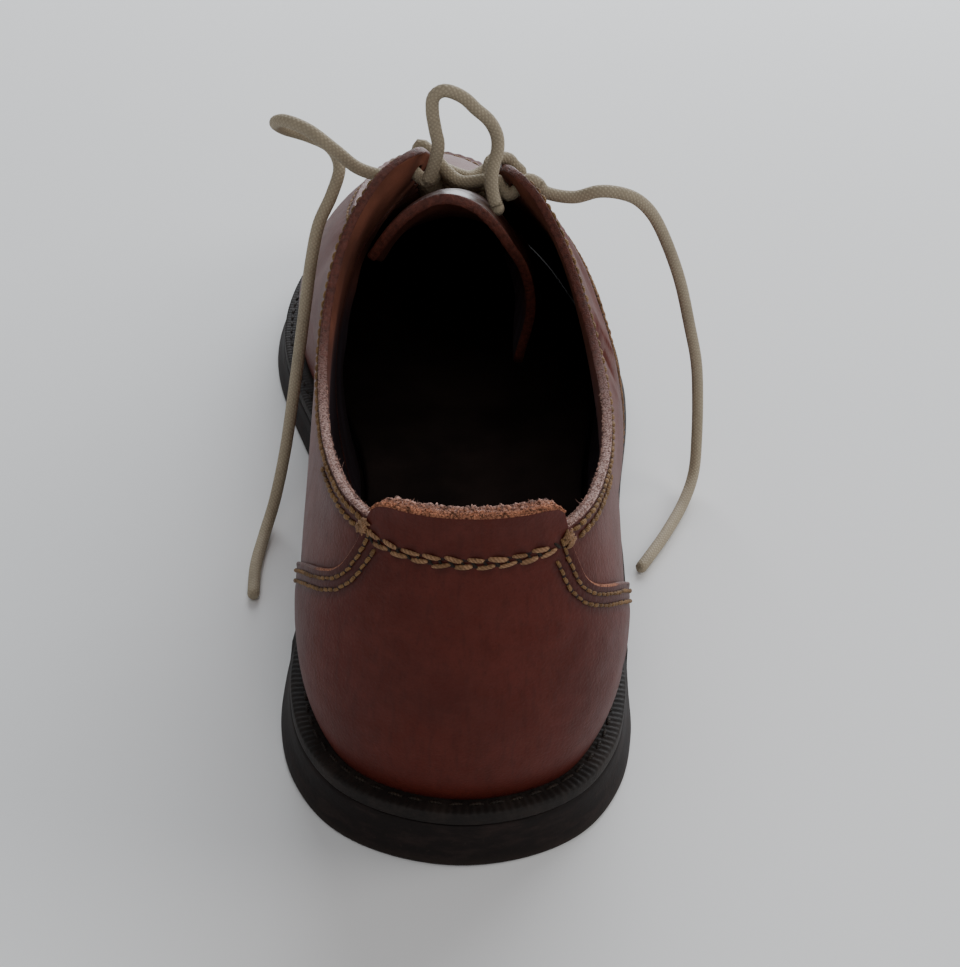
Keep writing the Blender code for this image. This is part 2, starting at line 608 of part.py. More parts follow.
def make_laces():
    material = finish_material("lace_cord", (0.26, 0.2, 0.12), 0.6)
    parts = []
    holes = [[(side * section, HOLE_HEIGHT) for side in (-1, 1)] for section in HOLE_SECTIONS]
    legs = [(holes[0][0], holes[0][1])]
    for low, high in zip(holes, holes[1:]):
        legs += [(low[0], high[1]), (low[1], high[0])]
    for start, end in legs:
        bm = bmesh.new()
        tube(bm, lace_leg(start, end), LACE / 2, 6)
        parts.append(bm)
    for pair in hole_frames():
        for place, normal in pair:
            bm = bmesh.new()
            add_rod(bm, place - normal * LACE_UNDER, place + normal * LACE, 0.47 * LACE, 7)
            parts.append(bm)
    laces = add_object("laces", parts[0], material)
    group = bpy.data.collections.new("lace_bars")
    bpy.context.scene.collection.children.link(group)
    for k, bm in enumerate(parts[1:]):
        bar = add_object(f"lace_bar_{k}", bm, material)
        hide_helper(bar)
        bpy.context.scene.collection.objects.unlink(bar)
        group.objects.link(bar)
    union = laces.modifiers.new("join_bars", "BOOLEAN")
    union.operation = "UNION"
    union.solver = "EXACT"
    union.operand_type = "COLLECTION"
    union.collection = group
    return laces


def make_cord(name, places):
    points = metres(smooth_route(places, 2.2 * LACE))
    curve = bpy.data.curves.new(name, "CURVE")
    curve.dimensions = "3D"
    curve.bevel_depth = LACE / 2 * MM
    curve.bevel_resolution = 2
    curve.use_fill_caps = True
    spline = curve.splines.new("POLY")
    spline.points.add(len(points) - 1)
    for point, place in zip(spline.points, points):
        point.co = (*place, 1.0)
    curve.materials.append(finish_material(name + "_cord", (0.26, 0.2, 0.12), 0.6))
    item = bpy.data.objects.new(name, curve)
    bpy.context.scene.collection.objects.link(item)
    return item


def lace_end_route(side, route):
    """Route of a free end: from beside its top hole, over the facing, then the places of its fall."""
    leave = table_columns(LEAVE_COLUMNS, LEAVE)
    u = np.full(len(LEAVE), side * HOLE_SECTIONS[-1])
    return np.concatenate([on_last(u, HOLE_HEIGHT - leave["down"], LACE_LIFT + leave["lift"]), route])


def main():
    clear_scene()
    make_outsole()
    make_welt()
    make_insole()
    cut_lace_holes(make_upper())
    make_counter()
    make_tongue()
    make_laces()
    make_cord("lace_loop", LOOP_ROUTE)
    make_cord("lace_end_lateral", lace_end_route(1, LATERAL_ROUTE))
    make_cord("lace_end_medial", lace_end_route(-1, MEDIAL_ROUTE))


main()
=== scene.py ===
"""Looks of a right-foot laced leather shoe with a split toe: leather, seams, sole, lace and stage."""

import math

import bmesh
import bpy
import numpy as np
from bpy.props import FloatProperty, FloatVectorProperty, PointerProperty
from mathutils import Matrix, Vector, kdtree


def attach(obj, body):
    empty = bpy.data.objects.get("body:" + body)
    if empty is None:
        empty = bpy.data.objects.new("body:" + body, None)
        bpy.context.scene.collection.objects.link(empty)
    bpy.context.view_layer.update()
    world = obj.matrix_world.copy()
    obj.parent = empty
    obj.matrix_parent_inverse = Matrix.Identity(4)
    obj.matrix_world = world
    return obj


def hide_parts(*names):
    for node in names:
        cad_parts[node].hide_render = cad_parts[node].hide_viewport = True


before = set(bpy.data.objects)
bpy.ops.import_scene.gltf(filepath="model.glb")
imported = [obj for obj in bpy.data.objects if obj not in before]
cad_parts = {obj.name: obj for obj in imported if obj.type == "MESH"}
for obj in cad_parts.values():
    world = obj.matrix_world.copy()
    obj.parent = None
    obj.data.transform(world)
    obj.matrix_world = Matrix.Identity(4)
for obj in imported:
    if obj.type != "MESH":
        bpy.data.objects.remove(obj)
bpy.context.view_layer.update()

bl_info = {
    "name": "Split toe shoe",
    "version": (1, 0, 0),
    "blender": (4, 5, 0),
    "location": "3D View > Sidebar > Shoe",
    "description": "Dresses the solids of a split toe laced shoe with leather, seams, sole and lace",
    "category": "Object",
}

BODY = "root"

# Tables and sizes are in millimetres, from the back of the heel on the floor.
# X points to the outer side of the right foot, Y to the toe and Z up. Meshes are in metres.
MM = 0.001

# The last, a row for each section from the heel's back to the toe's tip, as in the part's source.
COLUMNS = ("sole_y", "medial", "lateral", "margin",
           "top_y", "top_x_medial", "top_x_lateral", "top_z_medial", "top_z_lateral",
           "belly_medial", "belly_lateral", "rise", "reach_medial", "reach_lateral", "drop")
SECTIONS = (
    (2.1, 0.0, 0.0, 7.5, 13.6, 0.0, 0.0, 70.4, 70.4, 8.5, 8.5, 18, 3.0, 3.0, 18),
    (5.0, -14.5, 14.5, 7.5, 15.3, -9.8, 9.8, 70.8, 70.8, 8.5, 8.5, 18, 3.0, 3.0, 18),
    (12.5, -26.0, 26.0, 7.5, 20.2, -17.4, 17.4, 71.7, 71.7, 8.5, 8.5, 18, 3.4, 3.4, 18),
    (25.0, -33.6, 33.6, 7.5, 28.0, -22.8, 22.4, 71.4, 71.4, 8.5, 8.5, 18, 3.8, 3.8, 18),
    (40.0, -37.0, 37.2, 7.4, 40.0, -26.4, 26.0, 69.6, 69.6, 8.5, 8.5, 18, 4.0, 4.0, 18),
    (56.0, -37.2, 38.2, 7.1, 54.0, -29.2, 28.8, 68.4, 68.2, 7.6, 5.6, 19, 3.6, 4.0, 18),
    (73.0, -35.8, 39.3, 6.7, 69.0, -31.0, 30.0, 70.0, 69.6, 7.2, 3.2, 20, 3.0, 3.6, 19),
    (90.0, -33.6, 40.8, 6.2, 83.5, -31.6, 28.6, 75.4, 74.4, 8.0, 5.4, 22, 2.6, 5.8, 21),
    (106.0, -32.2, 41.8, 5.9, 96.0, -30.4, 25.6, 83.6, 81.4, 8.8, 9.0, 24, 4.0, 9.0, 23),
    (120.0, -32.2, 42.4, 5.6, 106.5, -26.6, 21.2, 93.6, 90.0, 8.8, 10.4, 27, 7.5, 12.5, 23),
    (133.0, -33.6, 43.6, 5.5, 115.0, -19.6, 15.4, 102.4, 97.8, 8.0, 9.4, 30, 12.0, 16.0, 21),
    (146.0, -36.2, 45.3, 5.4, 121.5, -12.0, 10.0, 105.4, 101.0, 7.0, 7.4, 32, 16.0, 18.0, 19),
    (159.0, -40.0, 47.4, 5.3, 132.0, -9.0, 7.6, 100.4, 97.8, 6.0, 5.2, 32, 18.0, 18.5, 16),
    (172.0, -44.0, 49.3, 5.2, 146.0, -7.8, 6.2, 91.6, 90.6, 5.2, 3.6, 31, 20.0, 19.5, 11),
    (185.0, -47.6, 50.6, 5.2, 160.5, -6.4, 4.4, 82.6, 82.4, 4.8, 3.6, 29, 21.0, 20.5, 6),
    (198.0, -50.4, 51.2, 5.1, 172.5, -1.6, -1.6, 75.6, 75.6, 4.6, 3.8, 27, 22.0, 21.5, 2),
    (212.0, -52.0, 50.5, 5.0, 186.0, -2.4, -2.4, 69.6, 69.6, 4.6, 4.0, 25, 23.0, 22.0, 0),
    (227.0, -52.0, 48.3, 5.0, 200.0, -3.2, -3.2, 64.6, 64.6, 4.6, 4.2, 23, 23.5, 22.0, 0),
    (243.0, -50.0, 44.2, 5.0, 213.5, -4.0, -4.0, 60.4, 60.4, 4.6, 4.4, 21, 23.0, 21.5, 0),
    (259.0, -46.0, 38.8, 5.0, 226.0, -4.8, -4.8, 57.0, 57.0, 4.6, 4.6, 19, 22.0, 20.5, 0),
    (274.0, -39.8, 31.4, 5.0, 236.5, -5.6, -5.6, 54.2, 54.2, 4.6, 4.6, 17, 20.5, 19.0, 0),
    (287.5, -31.4, 21.8, 5.0, 244.5, -6.2, -6.2, 52.2, 52.2, 4.6, 4.6, 16, 19.0, 18.0, 0),
    (297.0, -20.8, 9.6, 5.0, 249.5, -6.6, -6.6, 51.0, 51.0, 4.6, 4.6, 15, 18.5, 18.0, 0),
    (301.0, -6.5, -6.5, 5.0, 251.5, -6.8, -6.8, 50.5, 50.5, 4.6, 4.6, 15, 18.5, 18.5, 0),
)
TOE = len(SECTIONS) - 1
THROAT = 15           # first section whose two sides meet on the ridge

# Height of the welt's top along the shoe
SEAT_Y = (-5.0, 30.0, 70.0, 110.0, 150.0, 190.0, 225.0, 255.0, 280.0, 310.0)
SEAT_Z = (12.4, 12.4, 12.1, 11.3, 10.3, 9.8, 10.3, 12.4, 15.4, 20.4)

# Front edge of the quarters: height along the section, and the section it crosses there
SEAM_HEIGHT = (0.0, 0.25, 0.5, 0.66, 0.78, 0.88, 1.0)
SEAM_SECTION = (8.6, 8.8, 9.3, 10.1, 11.6, 13.4, 14.6)

# Sole: side profile, toe spring and arch
GAP = 0.3
WELT = 3.0
WELT_INSIDE = 3.0
FLARE = 2.3
INSOLE = 6.0
SPRING = 9.2
SPRING_FROM = 212.0
ARCH = 3.6
BREAST = 64.0
BREAST_RUN = 1.5
ARCH_END = 132.0
TIP = 303.0

# Leather: heights above the last
WALL = 2.2            # leather of the vamp, inside the last
LAP = 1.2             # outside of the quarters
COUNTER_OUT = 2.9     # outside of the heel counter
COUNTER_IN = 1.25
TAB_IN = -0.2         # inside of the tab, over the collar's edge
COLLAR_IN = 0.9       # depth of the leather inside the last at the collar and facings
RIDGE = 1.1
APRON = 0.6
APRON_HALF = 0.018

# Top edge of the heel counter with its tab: sections away from its middle, height along the section
COUNTER_MIDDLE = -0.15
TAB_TILT = 0.0115     # rise of the tab's top to the lateral side, in height for each section
TAB_TILT_ENDS = (1.9, 2.3)    # sections away from the middle between which the tilt dies out
COUNTER_COLUMNS = ("away", "height")
COUNTER_EDGE = (
    (0.0, 1.16), (0.6, 1.155), (1.1, 1.145), (1.55, 1.125), (1.8, 1.095), (1.92, 1.06), (2.0, 1.0),
    (2.08, 0.93), (2.18, 0.87), (2.3, 0.812), (2.5, 0.762), (2.8, 0.72), (3.2, 0.674), (3.7, 0.614),
    (4.3, 0.515), (5.0, 0.37), (5.6, 0.235), (6.1, 0.12),
)

# Tongue: its section, as shares of half width and fall, then a row for each place from the vamp to its top
TONGUE = 2.4
TONGUE_LEAN = 0.42    # the sections lean to the toe as they fall to the sides
TONGUE_CLEAR = 0.6    # clearance under the upper
TONGUE_ACROSS = 13
TONGUE_SECTION_COLUMNS = ("share", "out", "down")
TONGUE_SECTION = (
    (0.0, -0.82, 0.67), (0.12, -0.66, 0.42), (0.25, -0.44, 0.19), (0.38, -0.17, 0.03), (0.47, 0.02, 0.0),
    (0.57, 0.27, 0.07), (0.67, 0.5, 0.25), (0.77, 0.72, 0.53), (0.84, 0.9, 0.83), (0.89, 0.98, 1.12),
    (0.94, 0.99, 1.45), (1.0, 0.9, 1.9),
)
TONGUE_COLUMNS = ("y", "crown", "half", "fall", "centre")
TONGUE_ROWS = (
    (186.0, 65.6, 13.0, 4.0, -2.4),
    (176.0, 70.0, 15.5, 6.0, -2.2),
    (162.0, 76.6, 17.5, 9.0, -2.0),
    (147.0, 84.0, 19.5, 12.5, -2.2),
    (133.0, 91.0, 21.5, 17.0, -2.8),
    (122.0, 95.8, 22.3, 22.0, -3.8),
    (113.0, 99.3, 22.8, 26.0, -4.6),
    (104.0, 102.0, 22.9, 28.0, -5.0),
)

# Lace holes: section of each pair, and height along the section
HOLE_SECTIONS = (13.45, 12.8, 12.15, 11.5)
HOLE_HEIGHT = 0.925
LACE = 3.1
HOLE = 4.6
ROD = 14.0            # length of the rod that cuts a hole
LACE_LIFT = LAP + LACE / 2 + 0.1
LACE_SAG = 4.5        # fall of a loose crossing between the facings
UPPER_SAG = 1.5       # how much less the crossing that lies on another one falls
BAR_SAG = 0.5         # fall of the straight bar at the bottom
BRAID_PITCH = 1.1
CORD_SPACING = 0.9    # between the rings of a cord
LACE_SLANT = 0.12     # share of a crossing's slant that it takes on over the facing

# Free lengths of lace, a few places on each route. The ends first leave their hole over the facing.
LOOP_ROUTE = ((-9.8, 122.4, 97.6), (-8.5, 121.8, 101.3), (-7.5, 121.4, 106.5), (-8.3, 121.2, 110.6),
              (-9.1, 121.0, 114.8), (-9.0, 121.0, 118.2), (-7.2, 121.0, 119.9), (-4.9, 121.0, 119.8),
              (-1.9, 121.0, 118.4), (0.8, 121.0, 116.0), (3.9, 121.0, 113.4), (5.8, 120.8, 110.2),
              (6.2, 120.2, 106.9), (5.4, 118.9, 103.6), (5.0, 117.0, 100.6), (5.4, 115.2, 97.8),
              (6.2, 113.5, 95.6))
SLACK_ROUTE = ((5.4, 131.5, 99.6), (4.8, 127.0, 97.2), (6.0, 121.0, 94.8), (6.8, 116.4, 93.9))
LEAVE_COLUMNS = ("down", "lift")
LEAVE = ((0.029, 0.0), (0.068, 0.2))
LATERAL_ROUTE = ((25.4, 127.2, 92.8), (31.0, 126.4, 94.8), (36.4, 127.4, 94.2), (41.4, 129.4, 91.6),
                 (46.2, 132.4, 86.0), (51.4, 136.6, 76.0), (56.4, 141.2, 64.0), (60.9, 145.2, 50.0),
                 (64.5, 148.2, 38.0), (66.6, 150.2, 26.6), (67.8, 149.2, 14.0), (67.0, 142.6, 5.6),
                 (63.0, 132.0, 2.2), (56.6, 118.0, 1.8), (51.6, 108.4, 1.8), (47.8, 101.4, 1.8))
MEDIAL_ROUTE = ((-26.0, 126.6, 98.4), (-31.4, 125.2, 103.2), (-37.4, 125.6, 107.6), (-43.0, 129.2, 108.4),
                (-46.0, 134.8, 105.8), (-44.6, 140.6, 102.2), (-39.0, 143.0, 99.6), (-33.6, 141.0, 97.8),
                (-31.0, 135.8, 94.8), (-32.6, 131.0, 89.6), (-35.6, 128.4, 83.0), (-37.4, 127.2, 74.0),
                (-39.0, 127.4, 62.0), (-40.8, 128.0, 48.0), (-42.8, 128.4, 33.0), (-45.0, 127.4, 18.0),
                (-47.4, 122.4, 6.6), (-49.4, 112.4, 2.2), (-50.4, 99.0, 1.8), (-49.8, 86.0, 1.8))
LACE_REST = LAP + LACE / 2 + 0.6    # height of a free end over the last where it leaves its hole

# Creases and dents: from one section and height to another, depth and half width
CREASE_COLUMNS = ("u0", "v0", "u1", "v1", "depth", "half")
VAMP_CREASES = (
    (16.3, 0.98, 15.6, 0.66, 0.7, 3.0), (17.0, 0.99, 16.5, 0.62, 0.9, 2.6),
    (17.7, 0.99, 17.5, 0.6, 0.7, 2.8), (18.4, 0.97, 18.6, 0.66, 0.4, 3.0),
    (-16.2, 0.98, -15.5, 0.64, 0.8, 3.0), (-16.9, 0.99, -16.6, 0.6, 0.9, 2.6),
    (-17.7, 0.99, -17.7, 0.62, 0.6, 2.8), (-18.5, 0.97, -18.8, 0.68, 0.4, 3.0),
    (10.6, 0.62, 9.9, 0.36, 1.0, 3.4), (-10.6, 0.62, -9.9, 0.36, 1.0, 3.4),
)
QUARTER_CREASES = (
    (8.0, 0.93, 8.9, 0.58, -0.6, 1.7), (7.7, 0.95, 8.55, 0.56, 0.7, 1.9), (7.1, 0.93, 8.2, 0.52, -0.35, 2.4),
    (-8.2, 0.84, -7.7, 0.5, -0.5, 3.4), (-7.2, 0.8, -6.8, 0.48, 0.5, 4.0),
    (9.9, 0.93, 9.0, 0.7, 0.5, 4.0), (-9.9, 0.93, -9.0, 0.7, 0.5, 4.0),
)
COUNTER_CREASES = (
    (2.7, 0.5, 3.9, 0.36, 0.22, 2.0), (2.3, 0.44, 3.5, 0.28, 0.25, 2.2), (3.0, 0.3, 4.2, 0.18, 0.2, 2.4),
    (1.5, 0.64, 2.4, 0.52, 0.16, 2.4), (-1.6, 0.6, -2.6, 0.46, 0.16, 2.6), (-0.6, 0.74, 0.9, 0.72, 0.15, 3.0),
)
# Spots where a seam is tied off: section, height along the section and lift
KNOTS = ((-2.13, 0.985, 2.9), (-2.2, 0.955, 2.6), (1.83, 0.985, 2.9), (1.88, 0.955, 2.6))
KNOT_STITCH = 2.2
SECTION_MM = 13.0     # about a section's length along the shoe
HEIGHT_MM = 70.0      # about a rib's length
STEP = 0.01           # small step in section or height, to find a slope
NEAR = 1e-5           # a grid's share is on its edge when it is nearer than this

# Seams
COLLAR_INSET = 1.7
SMILE_HEIGHT = 0.972  # upper row under the tab, on the middle of the heel
SMILE_GAP = 0.025     # from that row to the lower one, in height
SMILE_TILT = 0.006    # rise of both rows for each section
FAR_FROM_SEAM = 9.0   # a distance at which leather knows nothing of a seam
SEAM_PRESS = 0.28     # how far a seam draws the leather down
SEAM_REACH = 1.3      # and how far from its stitches

# Cut edges turn from loose to waxed between these two places along the shoe
COLLAR_WAX = (52.0, 92.0)
COUNTER_WAX = (26.0, 31.0)

# Camera, from the photograph's vanishing lines and the shoe's sizes
PHOTO_WIDTH = 960
PHOTO_CENTRE = (480.0, 483.5)
FRAME_CENTRE = (690.0, 432.0)    # the photograph's pixel that the render is centred on
FOCAL_PIXELS = 1590.0
CAMERA_PLACE = (-12.2, -228.0, 243.0)
CAMERA_PITCH = 35.15
CAMERA_YAW = -6.0
CAMERA_ROLL = -1.87
SENSOR = 36.0


def table_columns(names, rows):
    """A table's columns by name."""
    return {name: np.array([row[k] for row in rows], float) for k, name in enumerate(names)}


def ring_values(medial, lateral):
    """One column all round the shoe, from the toe by the medial side and the heel to the toe again."""
    return np.concatenate([medial[:0:-1], lateral[:-1]])


def columns_all_round():
    table = table_columns(COLUMNS, SECTIONS)
    rings = {}
    for name in ("sole_y", "margin", "top_y", "rise", "drop"):
        rings[name] = ring_values(table[name], table[name])
    rings["edge_x"] = ring_values(table["medial"], table["lateral"])
    for name in ("top_x", "top_z", "belly", "reach"):
        rings[name] = ring_values(table[name + "_medial"], table[name + "_lateral"])
    return rings


RINGS = columns_all_round()


def cubic(a, b, c, d, f):
    """Smooth curve from b to c, at share f of the way, that minds their neighbours a and d."""
    return b + 0.5 * f * (c - a + f * (2 * a - 5 * b + 4 * c - d + f * (3 * (b - c) + d - a)))


def ring_at(name, u):
    """Smooth value of a column at section u: 0 is the heel, +TOE and -TOE the toe by either side."""
    ring = RINGS[name]
    place = np.asarray(u, float) + TOE
    first = np.floor(place).astype(int)
    return cubic(*(ring[(first + k) % len(ring)] for k in (-1, 0, 1, 2)), place - first)


def smooth_read(x, xs, ys):
    """Smooth reading of a short table, a cubic through its rows."""
    xs, ys = np.asarray(xs, float), np.asarray(ys, float)
    slope = np.gradient(ys, xs)
    x = np.clip(np.asarray(x, float), xs[0], xs[-1])
    k = np.clip(np.searchsorted(xs, x) - 1, 0, len(xs) - 2)
    h = xs[k + 1] - xs[k]
    t = (x - xs[k]) / h
    return ((1 + 2 * t) * (1 - t) ** 2 * ys[k] + t * (1 - t) ** 2 * h * slope[k]
            + t * t * (3 - 2 * t) * ys[k + 1] + t * t * (t - 1) * h * slope[k + 1])


def soft_step(x, low, high):
    t = np.clip((x - low) / (high - low), 0, 1)
    return t * t * (3 - 2 * t)


def unit(vectors):
    return vectors / np.linalg.norm(vectors, axis=-1, keepdims=True)


def seat(y):
    return smooth_read(y, SEAT_Y, SEAT_Z)


def tread(y):
    """Height of the sole's underside: flat heel, arch behind the ball, toe spring."""
    y = np.asarray(y, float)
    spring = SPRING * (np.clip(y - SPRING_FROM, 0, None) / (TIP - SPRING_FROM)) ** 2
    along = np.clip((y - BREAST) / (ARCH_END - BREAST), 0, 1)
    entry = np.clip((y - BREAST) / BREAST_RUN, 0, 1)
    return spring + ARCH * entry * (1 - along ** 2)


def outward(u):
    """Direction away from the shoe, in plan, square to the welt's edge."""
    dx = ring_at("edge_x", u + STEP) - ring_at("edge_x", u - STEP)
    dy = ring_at("sole_y", u + STEP) - ring_at("sole_y", u - STEP)
    size = np.hypot(dx, dy)
    return np.stack([dy / size, -dx / size], -1)


def outline(u, outset):
    """Points in plan that lie outset from the welt's outer edge."""
    u = np.asarray(u, float)
    edge = np.stack([ring_at("edge_x", u), ring_at("sole_y", u)], -1)
    return edge + outward(u) * np.asarray(outset, float)[..., None]


def last_point(u, v):
    """Point of the last at section u and height v: 0 on the welt, 1 at the top edge or the ridge."""
    u, v = np.broadcast_arrays(np.asarray(u, float), np.asarray(v, float))
    n = outward(u)
    side = np.concatenate([n, np.zeros(u.shape + (1,))], -1)
    up = np.array([0.0, 0.0, 1.0])
    foot_xy = outline(u, -ring_at("margin", u))
    foot = np.concatenate([foot_xy, (seat(foot_xy[..., 1]) + GAP)[..., None]], -1)
    top = np.stack([ring_at("top_x", u), ring_at("top_y", u), ring_at("top_z", u)], -1)
    low = foot + side * ring_at("belly", u)[..., None] + up * ring_at("rise", u)[..., None]
    high = top + side * ring_at("reach", u)[..., None] - up * ring_at("drop", u)[..., None]
    t = v[..., None]
    return (1 - t) ** 3 * foot + 3 * (1 - t) ** 2 * t * low + 3 * (1 - t) * t * t * high + t ** 3 * top


def last_normal(u, v):
    along = last_point(u + STEP, v) - last_point(u - STEP, v)
    rising = last_point(u, v + STEP) - last_point(u, v - STEP)
    return unit(np.cross(along, rising))


def on_last(u, v, lift):
    """Point that stands lift above the last's surface."""
    return last_point(u, v) + last_normal(u, v) * np.asarray(lift, float)[..., None]


def rib_length(u, v):
    """Length of the surface for one unit of height, at a place."""
    return np.linalg.norm(last_point(u, v + STEP) - last_point(u, v - STEP), axis=-1) / (2 * STEP)


def section_length(u, v):
    """Length of the surface for one section, at a place."""
    return np.linalg.norm(last_point(u + STEP, v) - last_point(u - STEP, v), axis=-1) / (2 * STEP)


def smooth_route(places, spacing):
    """Evenly spaced points on a smooth curve through a route's places."""
    p = np.array(places, float)
    ends = np.vstack([2 * p[0] - p[1], p, 2 * p[-1] - p[-2]])
    dense = []
    for k in range(1, len(ends) - 2):
        dense += [cubic(*ends[k - 1:k + 3], f) for f in np.linspace(0, 1, 40, endpoint=False)]
    return even_points(np.array(dense + [p[-1]]), spacing)


def run_of(points):
    """Length along a line of points, at each of them."""
    return np.concatenate([[0], np.cumsum(np.linalg.norm(np.diff(points, axis=0), axis=1))])


def points_at(at, run, line):
    """Points of a line at lengths along it."""
    return np.stack([np.interp(at, run, line[:, k]) for k in range(line.shape[1])], -1)


def even_points(dense, spacing):
    run = run_of(dense)
    at = np.linspace(0, run[-1], max(int(round(run[-1] / spacing)), 4) + 1)
    return points_at(at, run, dense)


def sole_centre():
    edge = outline(np.linspace(-TOE, TOE, 1000), np.full(1000, FLARE))
    return (edge.min(0) + edge.max(0)) / 2


CENTRE = np.append(sole_centre(), 0.0)


def metres(points):
    """Place in the part's frame: its origin is on the floor under the middle of the sole."""
    return (np.asarray(points, float) - CENTRE) * MM


def seam_section(v):
    return smooth_read(v, SEAM_HEIGHT, SEAM_SECTION)


def colour_of(red, green, blue):
    """A colour given as on a screen, 0 to 255, in linear light."""
    shares = np.array([red, green, blue]) / 255
    linear = np.where(shares <= 0.04045, shares / 12.92, ((shares + 0.055) / 1.055) ** 2.4)
    return tuple(float(share) for share in linear)


def colour_property(name, description, red, green, blue):
    return FloatVectorProperty(name=name, description=description, subtype="COLOR", size=3, min=0, max=1,
                               default=colour_of(red, green, blue))


def size_property(name, description, millimetres):
    return FloatProperty(name=name, description=description, default=millimetres * MM, min=0,
                         subtype="DISTANCE", unit="LENGTH")


class ShoeColours(bpy.types.PropertyGroup):
    """Colours of the shoe's materials."""

    leather: colour_property("Leather", "Vamp and quarters", 90, 37, 27)
    counter: colour_property("Counter", "Heel counter and its tab", 83, 30, 21)
    tongue: colour_property("Tongue", "Grain side of the tongue", 58, 27, 20)
    suede: colour_property("Collar edge", "Cut edge of the collar near the heel", 192, 162, 154)
    crumb: colour_property("Tab edge", "Loose fibres of the tab's cut edge", 176, 118, 90)
    burnished: colour_property("Burnished edge", "Cut edge of facings, tongue and counter", 104, 54, 42)
    flesh: colour_property("Flesh side", "Inside of the leather", 146, 88, 68)
    # Deep inside of the shoe: a lined inside's colour, darkened and turned bluish as painted shade
    shaded_lining: colour_property("Lining", "Inside of the shoe, deep down", 72, 72, 84)
    insole: colour_property("Insole", "Footbed", 58, 46, 42)
    thread: colour_property("Thread", "Stitches under the tab and down the quarters", 164, 126, 94)
    # Golden thread, darkened as painted shade: a darker copy of the tan thread for the collar, facing,
    # counter, apron and bartack rows
    thread_gold: colour_property("Golden thread", "Collar, facings, counter and apron", 146, 112, 72)
    # Dark thread: the welt thread's own colour, and painted shade where it crosses between the rows under the
    # tab
    thread_dark: colour_property("Dark thread", "Welt, and between the rows under the tab", 46, 34, 24)
    thread_shade: colour_property("Thread shade", "Stained thread", 100, 70, 40)
    lace: colour_property("Lace", "Waxed round cord", 172, 158, 134)
    sole: colour_property("Sole", "Rubber of the outsole", 28, 20, 18)
    welt: colour_property("Welt", "Ribbed welt", 34, 26, 22)
    floor: colour_property("Floor", "Pale floor of the stage", 240, 240, 240)


class ShoeSizes(bpy.types.PropertyGroup):
    """Sizes of the shoe's seams and cut edges."""

    edge_round: size_property("Edge rounding", "Rounding of a cut leather edge", 0.55)
    thread: size_property("Thread", "Diameter of the stitching thread", 0.9)
    fine_pitch: size_property("Stitch pitch", "Stitch length of the collar and panel seams", 2.4)
    smile_pitch: size_property("Tab stitch pitch", "Stitch length of the seam under the tab", 4.2)
    row_gap: size_property("Row gap", "Distance between the rows of a double seam", 2.1)
    seam_inset: size_property("Seam inset", "Distance of a seam from its edge", 1.9)
    welt_pitch: size_property("Welt stitch pitch", "Stitch length on the welt", 4.2)


def sizes(name):
    """A size of the add-on, in millimetres."""
    return getattr(bpy.context.scene.shoe_sizes, name) / MM


def colours(name):
    return tuple(getattr(bpy.context.scene.shoe_colours, name))


# Materials

class Value:
    """A node's output. Arithmetic on values adds Math nodes."""

    def __init__(self, finish, socket):
        self.finish = finish
        self.socket = socket

    def math(self, operation, *others):
        inputs = dict(enumerate((self, *others)))
        return self.finish.node("ShaderNodeMath", {"operation": operation}, inputs)

    def __add__(self, other):
        return self.math("ADD", other)

    def __sub__(self, other):
        return self.math("SUBTRACT", other)

    def __mul__(self, other):
        return self.math("MULTIPLY", other)

    def __rsub__(self, other):
        return self.finish.node("ShaderNodeMath", {"operation": "SUBTRACT"}, {0: other, 1: self})

    __radd__ = __add__
    __rmul__ = __mul__

    def sine(self):
        return self.math("SINE")

    def between(self, low, high):
        """0 below low, 1 above high, smooth between them."""
        settings = {"interpolation_type": "SMOOTHSTEP"}
        return self.finish.node("ShaderNodeMapRange", settings, {"Value": self, 1: low, 2: high})


